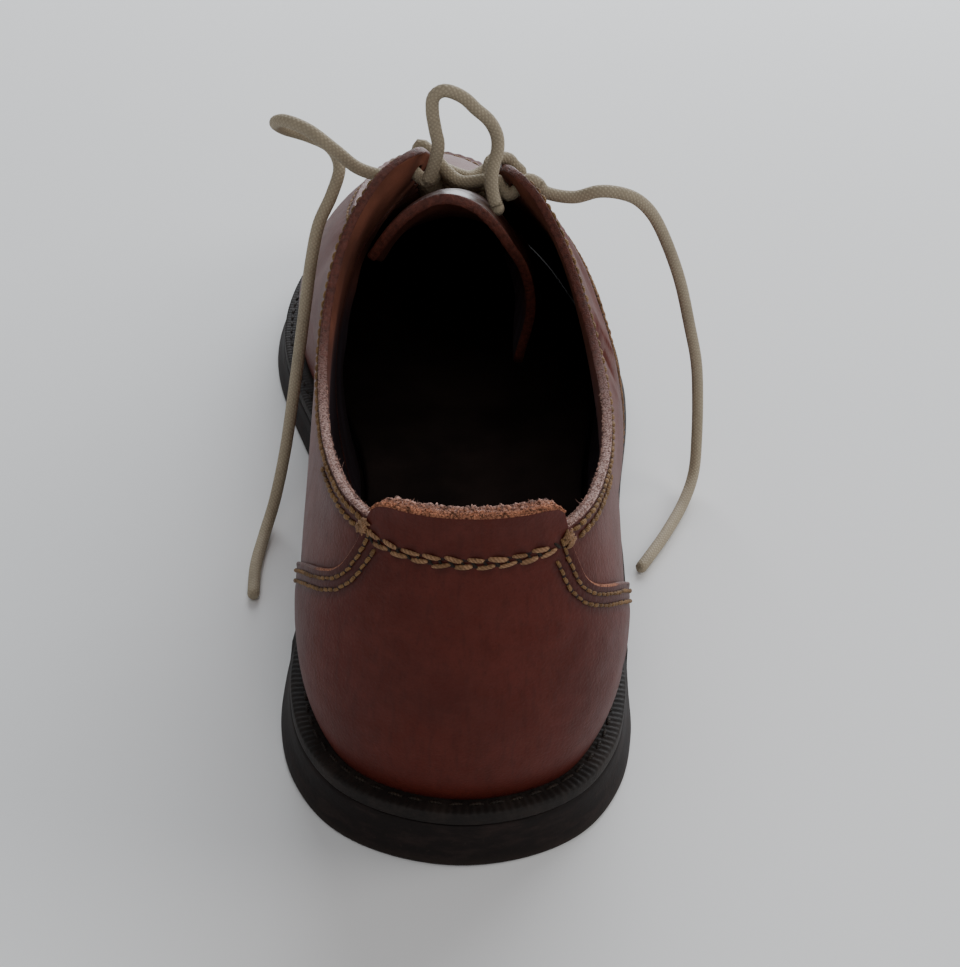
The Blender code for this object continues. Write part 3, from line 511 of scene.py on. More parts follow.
class Finish:
    """A material in the making: a Principled shader, and one way to add any other node."""

    def __init__(self, name):
        self.material = bpy.data.materials.new(name)
        self.material.use_nodes = True
        self.tree = self.material.node_tree
        self.shader = self.tree.nodes["Principled BSDF"]

    def node(self, kind, settings=None, inputs=None, output=0):
        """A node of that kind: its settings are set first, then the values or links of its sockets."""
        node = self.tree.nodes.new(kind)
        for name, value in (settings or {}).items():
            setattr(node, name, value)
        for key, value in (inputs or {}).items():
            self.join(value, node.inputs[key])
        return Value(self, node.outputs[output])

    def join(self, value, socket):
        if isinstance(value, Value):
            self.tree.links.new(value.socket, socket)
        elif socket.type == "RGBA":
            socket.default_value = (*value[:3], 1.0)
        else:
            socket.default_value = value

    def set(self, **values):
        """Sockets of the shader, by name with _ for a space."""
        for name, value in values.items():
            self.join(value, self.shader.inputs[name.replace("_", " ")])

    def place(self):
        return self.node("ShaderNodeTexCoord", output="Object")

    def attribute(self, name):
        return self.node("ShaderNodeAttribute", {"attribute_name": name}, output="Fac")

    def axis(self, vector, letter):
        return self.node("ShaderNodeSeparateXYZ", None, {0: vector}, letter)

    def noise(self, size, detail=2.0, roughness=0.5, vector=None):
        """Soft noise from 0 to 1, its lumps about size millimetres."""
        inputs = {"Vector": vector or self.place(), "Scale": 1 / (size * MM),
                  "Detail": detail, "Roughness": roughness}
        return self.node("ShaderNodeTexNoise", None, inputs, "Fac")

    def cells(self, size):
        """Distance to the middles of soft cells about size millimetres wide."""
        inputs = {"Vector": self.place(), "Scale": 1 / (size * MM)}
        return self.node("ShaderNodeTexVoronoi", {"feature": "SMOOTH_F1"}, inputs, "Distance")

    def mix(self, share, first, second):
        """A colour between two, by share."""
        return self.node("ShaderNodeMix", {"data_type": "RGBA"}, {0: share, 6: first, 7: second}, 2)

    def stretch(self, vector, factors):
        return self.node("ShaderNodeVectorMath", {"operation": "MULTIPLY"}, {0: vector, 1: factors})

    def relief(self, height, depth, strength=1.0):
        """Feeds the shader's normal with a height from 0 to 1 that is depth millimetres deep."""
        inputs = {"Height": height, "Distance": depth * MM, "Strength": strength}
        self.set(Normal=self.node("ShaderNodeBump", None, inputs))


def darker(colour, share):
    return tuple(share * c for c in colour)


def leather(name, colour, gloss, shine=0.06):
    """Waxed grain leather: fine grain, pull marks, unevenly dyed, and darker along its seams and in its
    creases as painted shade.
    """
    finish = Finish(name)
    place = finish.place()
    grain = finish.cells(0.7)
    pores = finish.noise(0.45, 3, 0.6)
    clouds = finish.noise(30, 4, 0.55)
    blotch = finish.noise(4.5, 4, 0.6)
    streak = finish.noise(1.1, 3, 0.6, finish.stretch(place, (1.0, 1.0, 0.14)))
    seam = finish.attribute("seam").between(0.5, 2.6)
    fold = finish.attribute("fold")
    dye_and_shade = finish.mix(clouds.between(0.32, 0.68), darker(colour, 0.8), darker(colour, 1.08))
    dye_and_shade = finish.mix(blotch.between(0.45, 0.75) * 0.35, dye_and_shade, darker(colour, 1.35))
    dye_and_shade = finish.mix(streak.between(0.46, 0.72) * 0.4, dye_and_shade, darker(colour, 0.6))
    dye_and_shade = finish.mix(pores.between(0.52, 0.74) * 0.4, dye_and_shade, darker(colour, 0.5))
    # Painted shade: darker within a few millimetres of the stitches and in the troughs of the creases
    dye_and_shade = finish.mix((1 - seam) * 0.5, dye_and_shade, darker(colour, 0.36))
    dye_and_shade = finish.mix(fold.between(0.2, 1.2) * 0.35, dye_and_shade, darker(colour, 0.5))
    finish.set(Base_Color=dye_and_shade, Roughness=gloss + 0.16 * clouds + 0.14 * pores,
               Coat_Weight=shine * blotch.between(0.3, 0.6), Coat_Roughness=0.3, Specular_IOR_Level=0.2)
    finish.relief(grain * 0.6 + pores * 0.5 + blotch * 0.5 + streak * 0.35, 0.2, 0.6)
    return finish.material


def raw_edge(name, pale, wax):
    """Cut leather edge: loose grains at the heel, whiter to the inside, and waxed further to the toe."""
    finish = Finish(name)
    along = finish.axis(finish.place(), "Y")
    waxed = along.between(*((y - CENTRE[1]) * MM for y in wax))
    inside = finish.attribute("depth").between(0.25, 0.95)
    fibre = finish.noise(0.4, 4, 0.7)
    lumps = finish.noise(1.2, 3, 0.65)
    fuzzy = finish.mix(inside, pale, colours("suede"))
    fuzzy = finish.mix(fibre.between(0.36, 0.58), darker(colours("burnished"), 0.5), fuzzy)
    fuzzy = finish.mix(lumps.between(0.54, 0.72) * 0.5, fuzzy, darker(colours("burnished"), 0.9))
    smooth = finish.mix(lumps.between(0.3, 0.7), darker(colours("burnished"), 0.5), colours("burnished"))
    tone = finish.mix(waxed, fuzzy, smooth)
    finish.set(Base_Color=tone, Roughness=0.9 - 0.42 * waxed, Specular_IOR_Level=0.3)
    finish.relief(fibre * 0.8 + lumps, 0.45, 0.9)
    return finish.material


def hole_shade_finish():
    """Needle hole: painted shade, the leather's colour darkened, with a smear of wax."""
    finish = Finish("needle_hole")
    wax = finish.noise(0.5, 2, 0.5)
    deep = darker(colours("leather"), 0.12)
    finish.set(Base_Color=finish.mix(wax.between(0.4, 0.7), deep, darker(deep, 2.2)), Roughness=0.8)
    return finish.material


def fibre_finish():
    """Loose leather grains and fibres: tan and orange, paler to the inside."""
    finish = Finish("fibre")
    tint = finish.noise(0.8, 3, 0.65).between(0.36, 0.64)
    crumb, suede = colours("crumb"), colours("suede")
    tan = finish.mix(tint, darker(crumb, 0.22), darker(crumb, 1.2))
    pale = finish.mix(tint, darker(suede, 0.3), darker(suede, 1.05))
    tone = finish.mix(finish.attribute("tone").between(0.45, 1.3), tan, pale)
    finish.set(Base_Color=tone, Roughness=0.9, Specular_IOR_Level=0.2)
    return finish.material


def flesh():
    """Flesh side of the leather, brushed; deep down it turns to a darker bluish grey with upright folds,
    partly a lined inside's colour and partly painted shade, with painted reflections streaked along the
    folds.
    """
    finish = Finish("flesh_side")
    place = finish.place()
    nap = finish.noise(0.8, 4, 0.7)
    clouds = finish.noise(18, 3, 0.6)
    folds = finish.noise(7, 2, 0.5, finish.stretch(place, (1.0, 1.0, 0.12)))
    base, shaded_lining = colours("flesh"), colours("shaded_lining")
    tone = finish.mix(clouds.between(0.3, 0.7), darker(base, 0.55), base)
    # Painted shade and reflections: deep down a darker bluish grey, with lighter and darker upright streaks
    # along the folds; from 56 to 78 mm up it turns to the flesh colour
    deep = finish.mix(folds.between(0.4, 0.65), darker(shaded_lining, 0.6), darker(shaded_lining, 1.1))
    tone = finish.mix(finish.axis(place, "Z").between(0.056, 0.078), deep, tone)
    tone = finish.mix(nap * 0.5, tone, darker(base, 0.45))
    finish.set(Base_Color=tone, Roughness=0.85, Specular_IOR_Level=0.3)
    finish.relief(nap + folds, 0.25, 0.6)
    return finish.material


def thread_finish(name, base, shade):
    """Twisted waxed thread, stained here and there."""
    finish = Finish(name)
    twist = finish.attribute("strand")
    ply = (twist * (2 * math.pi)).sine() * 0.5 + 0.5
    wear = finish.noise(4, 3, 0.6)
    speck = finish.noise(0.7, 3, 0.6)
    tone = finish.mix(ply * 0.55, base, shade)
    tone = finish.mix(wear.between(0.4, 0.68) * 0.75, tone, shade)
    tone = finish.mix(speck.between(0.5, 0.7) * 0.5, tone, darker(shade, 0.5))
    finish.set(Base_Color=tone, Roughness=0.66, Specular_IOR_Level=0.3)
    finish.relief(ply + speck * 0.4, 0.14, 0.8)
    return finish.material


def lace_finish():
    """Round braided cord, waxed: two sets of strands that cross."""
    finish = Finish("lace_braid")
    way = finish.node("ShaderNodeUVMap", {"uv_map": "way"})
    around = finish.axis(way, "X")
    along = finish.axis(way, "Y")
    turns = 2 * math.pi
    right = ((around * 8 + along) * turns).sine() * 0.5 + 0.5
    left = ((around * 8 - along) * turns).sine() * 0.5 + 0.5
    braid = right * left
    fuzz = finish.noise(0.7, 3, 0.6)
    stain = finish.noise(14, 3, 0.6)
    base = colours("lace")
    tone = finish.mix(braid.between(0.0, 0.45), darker(base, 0.78), base)
    tone = finish.mix(stain.between(0.4, 0.72) * 0.5, tone, darker(base, 0.6))
    tone = finish.mix(fuzz.between(0.5, 0.75) * 0.3, tone, darker(base, 0.5))
    finish.set(Base_Color=tone, Roughness=0.62 + 0.2 * fuzz, Specular_IOR_Level=0.35)
    finish.relief(braid + fuzz * 0.5, 0.14, 0.8)
    return finish.material


def sole_finish():
    """Dark rubber, rubbed dull on its side and dusty low down."""
    finish = Finish("sole_side")
    place = finish.place()
    height = finish.axis(place, "Z")
    speck = finish.noise(1.2, 4, 0.65)
    scuff = finish.noise(9, 4, 0.7, finish.stretch(place, (1, 1, 3.5)))
    base = colours("sole")
    tone = finish.mix(scuff.between(0.42, 0.72), darker(base, 0.7), darker(base, 1.9))
    tone = finish.mix(speck.between(0.6, 0.72) * 0.4, tone, darker(base, 3.0))
    tone = finish.mix((1 - height.between(0.0, 0.003)) * 0.5, tone, darker(colours("welt"), 2.0))
    finish.set(Base_Color=tone, Roughness=0.52 + 0.25 * scuff, Specular_IOR_Level=0.2)
    finish.relief(speck * 0.5 + scuff, 0.2, 0.6)
    return finish.material


def welt_finish():
    """Ribbed welt, dyed dark and dusty between its ribs."""
    finish = Finish("welt_ribs")
    dust = finish.noise(7, 4, 0.65)
    fibre = finish.noise(0.6, 3, 0.6)
    base = colours("welt")
    tone = finish.mix(dust.between(0.35, 0.72), darker(base, 0.5), darker(base, 1.25))
    tone = finish.mix(fibre.between(0.55, 0.75) * 0.4, tone, darker(base, 2.0))
    finish.set(Base_Color=tone, Roughness=0.55 + 0.25 * fibre, Specular_IOR_Level=0.3)
    finish.relief(fibre, 0.15, 0.6)
    return finish.material


def insole_finish():
    """Footbed leather, worn dark and shiny in its middle."""
    finish = Finish("insole_worn")
    wear = finish.noise(26, 4, 0.6)
    grain = finish.cells(0.9)
    base = colours("insole")
    tone = finish.mix(wear.between(0.35, 0.7), darker(base, 0.45), base)
    finish.set(Base_Color=tone, Roughness=0.5 + 0.25 * wear)
    finish.relief(grain, 0.14, 0.5)
    return finish.material


def floor_finish():
    finish = Finish("floor")
    dust = finish.noise(300, 3, 0.5)
    base = colours("floor")
    finish.set(Base_Color=finish.mix(dust, darker(base, 0.97), base), Roughness=0.8, Specular_IOR_Level=0.2)
    return finish.material


def material(name, make, *settings):
    """The material of that name, made on first use."""
    return bpy.data.materials.get(name) or make(*settings)


# Meshes

def add_object(name, data):
    made = bpy.data.objects.new(name, data)
    bpy.context.scene.collection.objects.link(made)
    return made


def mesh_from(bm, name):
    """Mesh of a bmesh, which is used up."""
    mesh = bpy.data.meshes.new(name)
    bm.to_mesh(mesh)
    bm.free()
    return mesh


def lay_attributes(mesh, attributes):
    """One value for each vertex, for the materials to read."""
    for name, values in attributes.items():
        layer = mesh.attributes.new(name, "FLOAT", "POINT")
        layer.data.foreach_set("value", np.asarray(values, np.float32))


def add_piece(name, mesh, materials, replaces=()):
    """A finished piece: shaded smooth, with its materials, riding on the shoe's one body."""
    mesh.name = name
    mesh.shade_smooth()
    for item in materials:
        mesh.materials.append(item)
    piece = add_object(name, mesh)
    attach(piece, BODY)
    if replaces:
        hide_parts(*replaces)
    return piece


def read_places(bm):
    return np.array([vert.co[:] for vert in bm.verts])


def to_mesh(bm, places, **attributes):
    """Mesh of a bmesh with its vertices moved to places, in the tables' millimetres."""
    mesh = mesh_from(bm, "piece")
    mesh.vertices.foreach_set("co", metres(places).astype(np.float32).ravel())
    lay_attributes(mesh, attributes)
    mesh.update()
    return mesh


def flat_grid(columns, rows):
    """A grid over the unit square, with its shares as a UV map."""
    bm = bmesh.new()
    bm.loops.layers.uv.new("way")
    bmesh.ops.create_grid(bm, x_segments=columns, y_segments=rows, size=0.5, calc_uvs=True)
    bmesh.ops.translate(bm, verts=bm.verts, vec=(0.5, 0.5, 0.0))
    return bm


GRAIN, EDGE, FLESH = range(3)
RIM_CUTS = 4


def give_thickness(bm):
    """Gives a grid its back, one unit away, and a rim with a few cuts. Tells which vertices are the rim's."""
    made = bmesh.ops.extrude_face_region(bm, geom=bm.faces[:])
    back = [item for item in made["geom"] if isinstance(item, bmesh.types.BMVert)]
    bmesh.ops.translate(bm, verts=back, vec=(0, 0, 1))
    upright = [edge for edge in bm.edges if abs(edge.verts[0].co.z - edge.verts[1].co.z) > 0.5]
    bmesh.ops.subdivide_edges(bm, edges=upright, cuts=RIM_CUTS, use_grid_fill=True)
    bm.verts.index_update()
    rim = np.zeros(len(bm.verts), bool)
    for face in bm.faces:
        depths = [vert.co.z for vert in face.verts]
        if max(depths) - min(depths) > 1e-4:
            face.material_index = EDGE
            for vert in face.verts:
                rim[vert.index] = True
        else:
            face.material_index = FLESH if depths[0] > 0.5 else GRAIN
    return rim


def rounded(w):
    """How far a rounded edge draws in, from 1 at its two faces to 0 in the middle of the leather."""
    return 1 - (1 - np.abs(2 * w - 1) ** 2.5) ** (1 / 2.5)


def leather_sheet(bm, surface, outer, inner):
    """Places of a leather panel: shares s, t of the cut give a place on the last, w goes through the leather.

    surface(s, t) gives section and height; outer and inner give the lift there. The rim is rounded.
    """
    rim = give_thickness(bm)
    s, t, w = read_places(bm).T
    w = np.where(rim, (1 - np.cos(math.pi * w)) / 2, w)
    u, v = surface(s, t)
    top, bottom = outer(u, v), inner(u, v)
    lift = top + (bottom - top) * w
    places = on_last(u, v, lift)
    on_s = rim & ((s < NEAR) | (s > 1 - NEAR))
    on_t = rim & ((t < NEAR) | (t > 1 - NEAR))
    inside = 0.004
    s_in = np.where(on_s, s + (0.5 - s) * inside, s)
    t_in = np.where(on_t, t + (0.5 - t) * inside, t)
    inward = on_last(*surface(s_in, t_in), lift) - places
    inward[rim] = unit(inward[rim])
    places[rim] += inward[rim] * (sizes("edge_round") * rounded(w[rim]))[:, None]
    return places, u, v, w


def creases(u, v, rows):
    """Depth of the creases of a table at places of the last: soft troughs, or ridges where negative."""
    depth = np.zeros(u.shape)
    for row in rows:
        crease = dict(zip(CREASE_COLUMNS, row))
        start = np.array([crease["u0"] * SECTION_MM, crease["v0"] * HEIGHT_MM])
        way = np.array([crease["u1"] * SECTION_MM, crease["v1"] * HEIGHT_MM]) - start
        off = np.stack([u * SECTION_MM, v * HEIGHT_MM], -1) - start
        share = off @ way / (way @ way)
        wander = 0.35 * crease["half"] * np.sin(share * 5 + crease["u0"])
        across = np.abs(off[..., 0] * way[1] - off[..., 1] * way[0]) / np.linalg.norm(way) - wander
        ends = soft_step(share, -0.15, 0.25) * (1 - soft_step(share, 0.7, 1.15))
        depth += crease["depth"] * np.exp(-(across / crease["half"]) ** 2) * ends
    return depth


class SeamRow:
    """A row of stitches on the last: their middles, the way they run and the way they face."""

    def __init__(self, u, v, lift, pitch, shift=0.0):
        self.lay(on_last(u, v, np.broadcast_to(lift, u.shape)), last_normal(u, v), pitch, shift)

    @classmethod
    def on_line(cls, line, face, pitch):
        row = cls.__new__(cls)
        row.lay(line, face, pitch, 0.0)
        return row

    def lay(self, line, face, pitch, shift):
        run = run_of(line)
        at = np.arange(pitch * (0.5 + shift), run[-1] - pitch * 0.4, pitch)
        self.middle = points_at(at, run, line)
        self.face = unit(points_at(at, run, face))
        way = unit(points_at(at + 0.2 * pitch, run, line) - self.middle)
        self.way = unit(way - self.face * (way * self.face).sum(-1, keepdims=True))
        self.pitch = pitch


SIDES = (-1, 1)


def under_edge(u, inset):
    """Heights that lie inset below the collar's or the facing's edge, measured along the leather."""
    return 1 - inset / rib_length(u, np.ones(u.shape))


def collar_rows():
    rows = []
    for side in SIDES:
        u = side * np.linspace(2.15, 10.9, 600)
        rows.append(SeamRow(u, under_edge(u, COLLAR_INSET), LAP, sizes("fine_pitch")))
        u = side * np.linspace(2.3, 4.6, 160)
        rows.append(SeamRow(u, under_edge(u, COLLAR_INSET + sizes("row_gap")), LAP, sizes("fine_pitch")))
    return rows


def facing_rows():
    rows = []
    for side in SIDES:
        for k in range(2):
            u = side * np.linspace(10.9 - 0.3 * k, 14.2 - 0.25 * k, 300)
            rows.append(SeamRow(u, under_edge(u, sizes("seam_inset") + k * sizes("row_gap")), LAP,
                                sizes("fine_pitch"), 0.5 * k))
    return rows


def front_rows():
    """Double seam down the front edge of each quarter."""
    rows = []
    for side in SIDES:
        for k in range(2):
            v = np.linspace(0.93, 0.05, 500)
            edge = seam_section(v)
            inset = sizes("seam_inset") + k * sizes("row_gap")
            slope = np.gradient(edge, v) * section_length(edge, v) / rib_length(edge, v)
            u = edge - inset * np.sqrt(1 + slope ** 2) / section_length(edge, v)
            rows.append(SeamRow(side * u, v, LAP, sizes("fine_pitch"), 0.5 * k))
    return rows


def counter_height(away):
    """Height of the counter's top edge, away from its middle."""
    edge = table_columns(COUNTER_COLUMNS, COUNTER_EDGE)
    tilt = TAB_TILT * away * np.interp(np.abs(away), TAB_TILT_ENDS, (1, 0))
    return smooth_read(np.abs(away), edge["away"], edge["height"]) + tilt


def counter_line(count):
    """The counter's top edge, evenly spaced: section and height."""
    reach = COUNTER_EDGE[-1][0]
    away = np.linspace(-reach, reach, 6000)
    u = COUNTER_MIDDLE + away
    v = counter_height(away)
    run = run_of(last_point(u, v))
    at = np.linspace(0, run[-1], count)
    return np.interp(at, run, u), np.interp(at, run, v)


def inset_line(u, v, inset):
    """A line on the last moved inset millimetres to its right, as seen from outside."""
    along = unit(np.gradient(last_point(u, v), axis=0))
    away = np.cross(along, last_normal(u, v))
    across_u = last_point(u + STEP, v) - last_point(u - STEP, v)
    across_v = last_point(u, v + STEP) - last_point(u, v - STEP)
    basis = np.stack([across_u, across_v], -1) / (2 * STEP)
    steps = np.linalg.pinv(basis) @ (away * inset)[..., None]
    return u + steps[:, 0, 0], v + steps[:, 1, 0]


def counter_lift(u):
    """Outside of the counter over the last: it thins to its sides, more on the medial one."""
    thin = np.where(u < COUNTER_MIDDLE, 0.75, 0.4)
    return COUNTER_OUT - thin * soft_step(np.abs(u - COUNTER_MIDDLE), 2.0, 4.2)


def counter_rows():
    """Double seam inside the counter's side edges, from under the tab's corners to the welt."""
    rows = []
    u, v = counter_line(1600)
    for k in range(2):
        inset = sizes("seam_inset") + k * sizes("row_gap")
        for side in SIDES:
            keep = (side * (u - COUNTER_MIDDLE) > 1.9) & (v < 0.99 - 0.045 * k)
            line_u, line_v = inset_line(u[keep], v[keep], inset)
            low = line_v > 0.03
            lift = counter_lift(line_u[low])
            rows.append(SeamRow(line_u[low], line_v[low], lift, 0.85 * sizes("fine_pitch"), 0.5 * k))
    return rows


def smile_rows():
    """Two rows that lean towards each other, under the tab."""
    rows = []
    for k in range(2):
        u = COUNTER_MIDDLE + np.linspace(-1.93, 1.9, 300)
        v = SMILE_HEIGHT - SMILE_GAP * k + SMILE_TILT * u
        rows.append(SeamRow(u, v, COUNTER_OUT, sizes("smile_pitch"), 0.5 * k))
    return rows


def crossing_rows():
    """The thread that crosses from one row under the tab to the other, made dark as painted shade between the
    rows.
    """
    u = COUNTER_MIDDLE + np.linspace(-1.9, 1.87, 300)
    v = SMILE_HEIGHT - SMILE_GAP / 2 + SMILE_TILT * u
    return [SeamRow(u, v, COUNTER_OUT, sizes("smile_pitch") / 2, 0.25)]


def apron_rows():
    """A row on each side of the apron's raised seam and of the toe's split seam."""
    rows = []
    beside = 0.042
    for side in SIDES:
        start = seam_section(APRON) + 0.35
        for off in (-beside, beside):
            u = side * np.linspace(start, TOE - 0.1, 700)
            rows.append(SeamRow(u, np.full(u.shape, APRON + off), 0.0, 2 * sizes("fine_pitch")))
        v = np.linspace(0.06, APRON - 0.07, 200)
        u = np.full(v.shape, side * TOE) - side * 2.4 / section_length(np.full(v.shape, float(TOE)), v)
        rows.append(SeamRow(u, v, 0.0, 2 * sizes("fine_pitch")))
    return rows


def welt_rows():
    """A row round the welt's top, between the leather and the edge."""
    u = np.linspace(-TOE, TOE, 4000)
    flat = outline(u, -0.42 * ring_at("margin", u))
    line = np.column_stack([flat, seat(flat[:, 1])])
    return [SeamRow.on_line(line, np.tile((0.0, 0.0, 1.0), (len(u), 1)), sizes("welt_pitch"))]


def bartack_rows():
    """Short bars of close stitches where each facing turns into its front seam."""
    v = np.linspace(0.645, 0.7, 40)
    return [SeamRow(side * (seam_section(v) - 0.22), v, LAP, 1.05) for side in SIDES]


def knot(seed, u, v, lift):
    """A few stitches that cross on one spot, where a seam is tied off."""
    random = np.random.default_rng(seed)
    row = SeamRow(np.linspace(u - 0.07, u + 0.07, 30), np.full(30, v), lift, 0.14)
    turn = random.uniform(0, math.pi, (len(row.middle), 1))
    side = np.cross(row.face, row.way)
    row.middle += side * random.normal(0, 0.55, turn.shape) + row.face * random.uniform(0, 0.5, turn.shape)
    row.way = row.way * np.cos(turn) + side * np.sin(turn)
    row.pitch = KNOT_STITCH
    return row


def stitch_template(around, along):
    """Vertices and triangles of one stitch, a pointed ball of unit half sizes along X."""
    bm = bmesh.new()
    bmesh.ops.create_uvsphere(bm, u_segments=around, v_segments=along, radius=1.0)
    bmesh.ops.rotate(bm, verts=bm.verts, matrix=Matrix.Rotation(math.pi / 2, 3, "Y"))
    bmesh.ops.triangulate(bm, faces=bm.faces)
    bm.verts.index_update()
    places = read_places(bm)
    faces = np.array([[vert.index for vert in face.verts] for face in bm.faces])
    bm.free()
    return places, faces


def copies(template, middles, frames, scales):
    """Joined copies of a template: middle, frame of three directions and three half sizes for each."""
    places, faces = template
    sized = places[None] * scales[:, None, :]
    moved = np.einsum("nik,nkj->nij", sized, frames) + middles[:, None, :]
    offsets = np.arange(len(middles))[:, None, None] * len(places)
    return moved.reshape(-1, 3), (faces[None] + offsets).reshape(-1, 3)


def joined(groups, **attributes):
    """Mesh of groups of places and triangles, with attributes of its vertices."""
    counts = np.cumsum([0] + [len(places) for places, _ in groups])
    places = np.concatenate([places for places, _ in groups])
    faces = np.concatenate([faces + first for (_, faces), first in zip(groups, counts)])
    mesh = bpy.data.meshes.new("joined")
    mesh.vertices.add(len(places))
    mesh.vertices.foreach_set("co", metres(places).astype(np.float32).ravel())
    mesh.loops.add(faces.size)
    mesh.loops.foreach_set("vertex_index", faces.astype(np.int32).ravel())
    mesh.polygons.add(len(faces))
    mesh.polygons.foreach_set("loop_start", np.arange(0, faces.size, 3, dtype=np.int32))
    mesh.update(calc_edges=True)
    mesh.validate()
    lay_attributes(mesh, attributes)
    return mesh


def thread_template():
    """One stitch: a blunt ball of unit half sizes along X, its ends dipping into the leather."""
    places, faces = stitch_template(8, 9)
    reach = np.hypot(places[:, 1], places[:, 2])[:, None]
    places[:, 1:] *= np.maximum(reach, 0.05) ** -0.45
    places[:, 2] -= 0.9 * np.abs(places[:, 0]) ** 3
    return places, faces


def stitches(rows, width, share, lean, seed):
    """Mesh of rows of stitches: each lies in the leather with its ends sunk, no two quite alike."""
    random = np.random.default_rng(seed)
    template = thread_template()
    groups = []
    for k, row in enumerate(rows):
        n = len(row.middle)
        turn = lean * (1 if k % 2 else -1) + random.normal(0, 0.06, n)
        side = np.cross(row.face, row.way)
        way = row.way * np.cos(turn)[:, None] + side * np.sin(turn)[:, None]
        side = np.cross(row.face, way)
        half = np.column_stack([
            0.5 * share * row.pitch * random.normal(1, 0.05, n),
            0.5 * width * random.normal(1, 0.09, n),
            0.4 * width * random.normal(1, 0.09, n)])
        middle = row.middle + row.face * 0.06 * width + side * random.normal(0, 0.06, n)[:, None]
        groups.append(copies(template, middle, np.stack([way, side, row.face], 1), half))
    turns = template[0][:, 0] * 2.3 + template[0][:, 1] * 0.7
    return joined(groups, strand=np.tile(turns, sum(len(row.middle) for row in rows)))


def needle_holes(rows, width):
    """Mesh of dark flat discs between the stitches of rows, in the pressed leather: painted shade that stands
    in for the needle holes.
    """
    template = stitch_template(7, 6)
    groups = []
    for row in rows:
        middle = (row.middle[1:] + row.middle[:-1]) / 2 - row.face[1:] * 0.13
        frames = np.stack([row.way[1:], np.cross(row.face[1:], row.way[1:]), row.face[1:]], 1)
        half = np.tile((0.26 + 0.1 * row.pitch, 0.5 * width, 0.16), (len(middle), 1))
        groups.append(copies(template, middle, frames, half))
    return joined(groups)


def all_rows():
    return {"collar": collar_rows(), "facing": facing_rows(), "front": front_rows(),
            "counter": counter_rows(), "smile": smile_rows(), "crossing": crossing_rows(),
            "apron": apron_rows(), "welt": welt_rows(), "bartack": bartack_rows(),
            "knot": [knot(k, *place) for k, place in enumerate(KNOTS)]}


def seam_depths(places, rows):
    """Distance in millimetres from each place to the nearest stitch, up to a few millimetres."""
    middles = np.concatenate([row.middle for row in rows])
    tree = kdtree.KDTree(len(middles))
    for k, middle in enumerate(middles):
        tree.insert(middle, k)
    tree.balance()
    return np.minimum([tree.find(place)[2] for place in places], FAR_FROM_SEAM)


def sewn_mesh(bm, places, u, v, w, rows, folds):
    """Mesh of a leather panel whose outside is drawn down along its rows of stitches."""
    seam = seam_depths(places, rows)
    press = SEAM_PRESS * np.exp(-(seam / SEAM_REACH) ** 2) * (w < 0.5)
    places = places - last_normal(u, v) * press[:, None]
    # seam and fold also darken the grain's colour: painted shade along the seams and in the crease troughs
    return to_mesh(bm, places, seam=seam, fold=creases(u, v, folds), depth=w)


# Pieces

def panel_finishes(name, colour, gloss, edge, pale, wax):
    """Grain, cut edge and flesh side of a panel."""
    return (material(name, leather, name, colour, gloss), material(edge, raw_edge, edge, pale, wax),
            material("flesh_side", flesh))


def upper_finishes():
    return panel_finishes("upper_grain", colours("leather"), 0.38, "collar_edge", colours("suede"),
                          COLLAR_WAX)


class ShoeVamp(bpy.types.Operator):
    """Vamp from the quarters' seams round the toe, with apron seam, split toe and flex creases"""

    bl_idname = "shoe.vamp"
    bl_label = "Vamp"
    bl_options = {"REGISTER", "UNDO"}
    columns = 240
    rows = 90
    tuck = 0.42           # sections that the vamp runs under the quarters
    share_table = (0.0, 0.36, 0.43, 0.57, 0.64, 1.0)
    height_table = (0.0, 0.52, 0.573, 0.627, 0.68, 1.0)

    def surface(self, s, t):
        v = smooth_read(t, self.share_table, self.height_table)
        rear = seam_section(v) - self.tuck
        u = rear + (TOE - rear) * (1 - np.abs(2 * s - 1))
        return np.where(s < 0.5, -u, u), v

    def outer(self, u, v):
        past = soft_step(np.abs(u) - seam_section(v), 0.05, 0.4)
        apron = RIDGE * np.exp(-((v - APRON) / (0.8 * APRON_HALF)) ** 2) * past
        tip = (TOE - np.abs(u)) * section_length(np.full(u.shape, float(TOE)), v)
        split = RIDGE * np.exp(-(tip / 1.1) ** 2) * (1 - soft_step(v, APRON - 0.05, APRON))
        pucker = 0.16 * np.sin(np.abs(u) * SECTION_MM * 2 * math.pi / 5.6)
        pucker = pucker * np.exp(-((v - APRON) / (3.2 * APRON_HALF)) ** 2) * past
        fold = creases(u, v, VAMP_CREASES)
        under = -0.12 * (1 - past)
        return np.maximum(apron, split) + pucker - fold + under

    def inner(self, u, v):
        return np.full(u.shape, -WALL) - creases(u, v, VAMP_CREASES)

    def meet(self, places, u, v):
        """Draws the two sides together where they cross on the ridge in front of the throat."""
        past = ring_at("top_x", -np.abs(u)) - ring_at("top_x", np.abs(u))
        share = 0.5 * soft_step(v, 0.6, 1.0) * (np.abs(u) > THROAT)
        places[:, 0] += np.sign(u) * past * share

    def execute(self, context):
        bm = flat_grid(self.columns, self.rows)
        pairs = {}
        for vert in bm.verts:
            if vert.co.y > 1 - NEAR:
                pairs[round(vert.co.x * self.columns)] = vert
        targets = {}
        for k in range(self.columns // 2):
            u, _ = self.surface(np.array([1 - k / self.columns]), np.array([1.0]))
            if u[0] >= THROAT - 0.2:
                targets[pairs[k]] = pairs[self.columns - k]
        bmesh.ops.weld_verts(bm, targetmap=targets)
        places, u, v, w = leather_sheet(bm, self.surface, self.outer, self.inner)
        self.meet(places, u, v)
        mesh = sewn_mesh(bm, places, u, v, w, apron_rows(), VAMP_CREASES)
        add_piece("vamp", mesh, upper_finishes(), ("upper",))
        return {"FINISHED"}


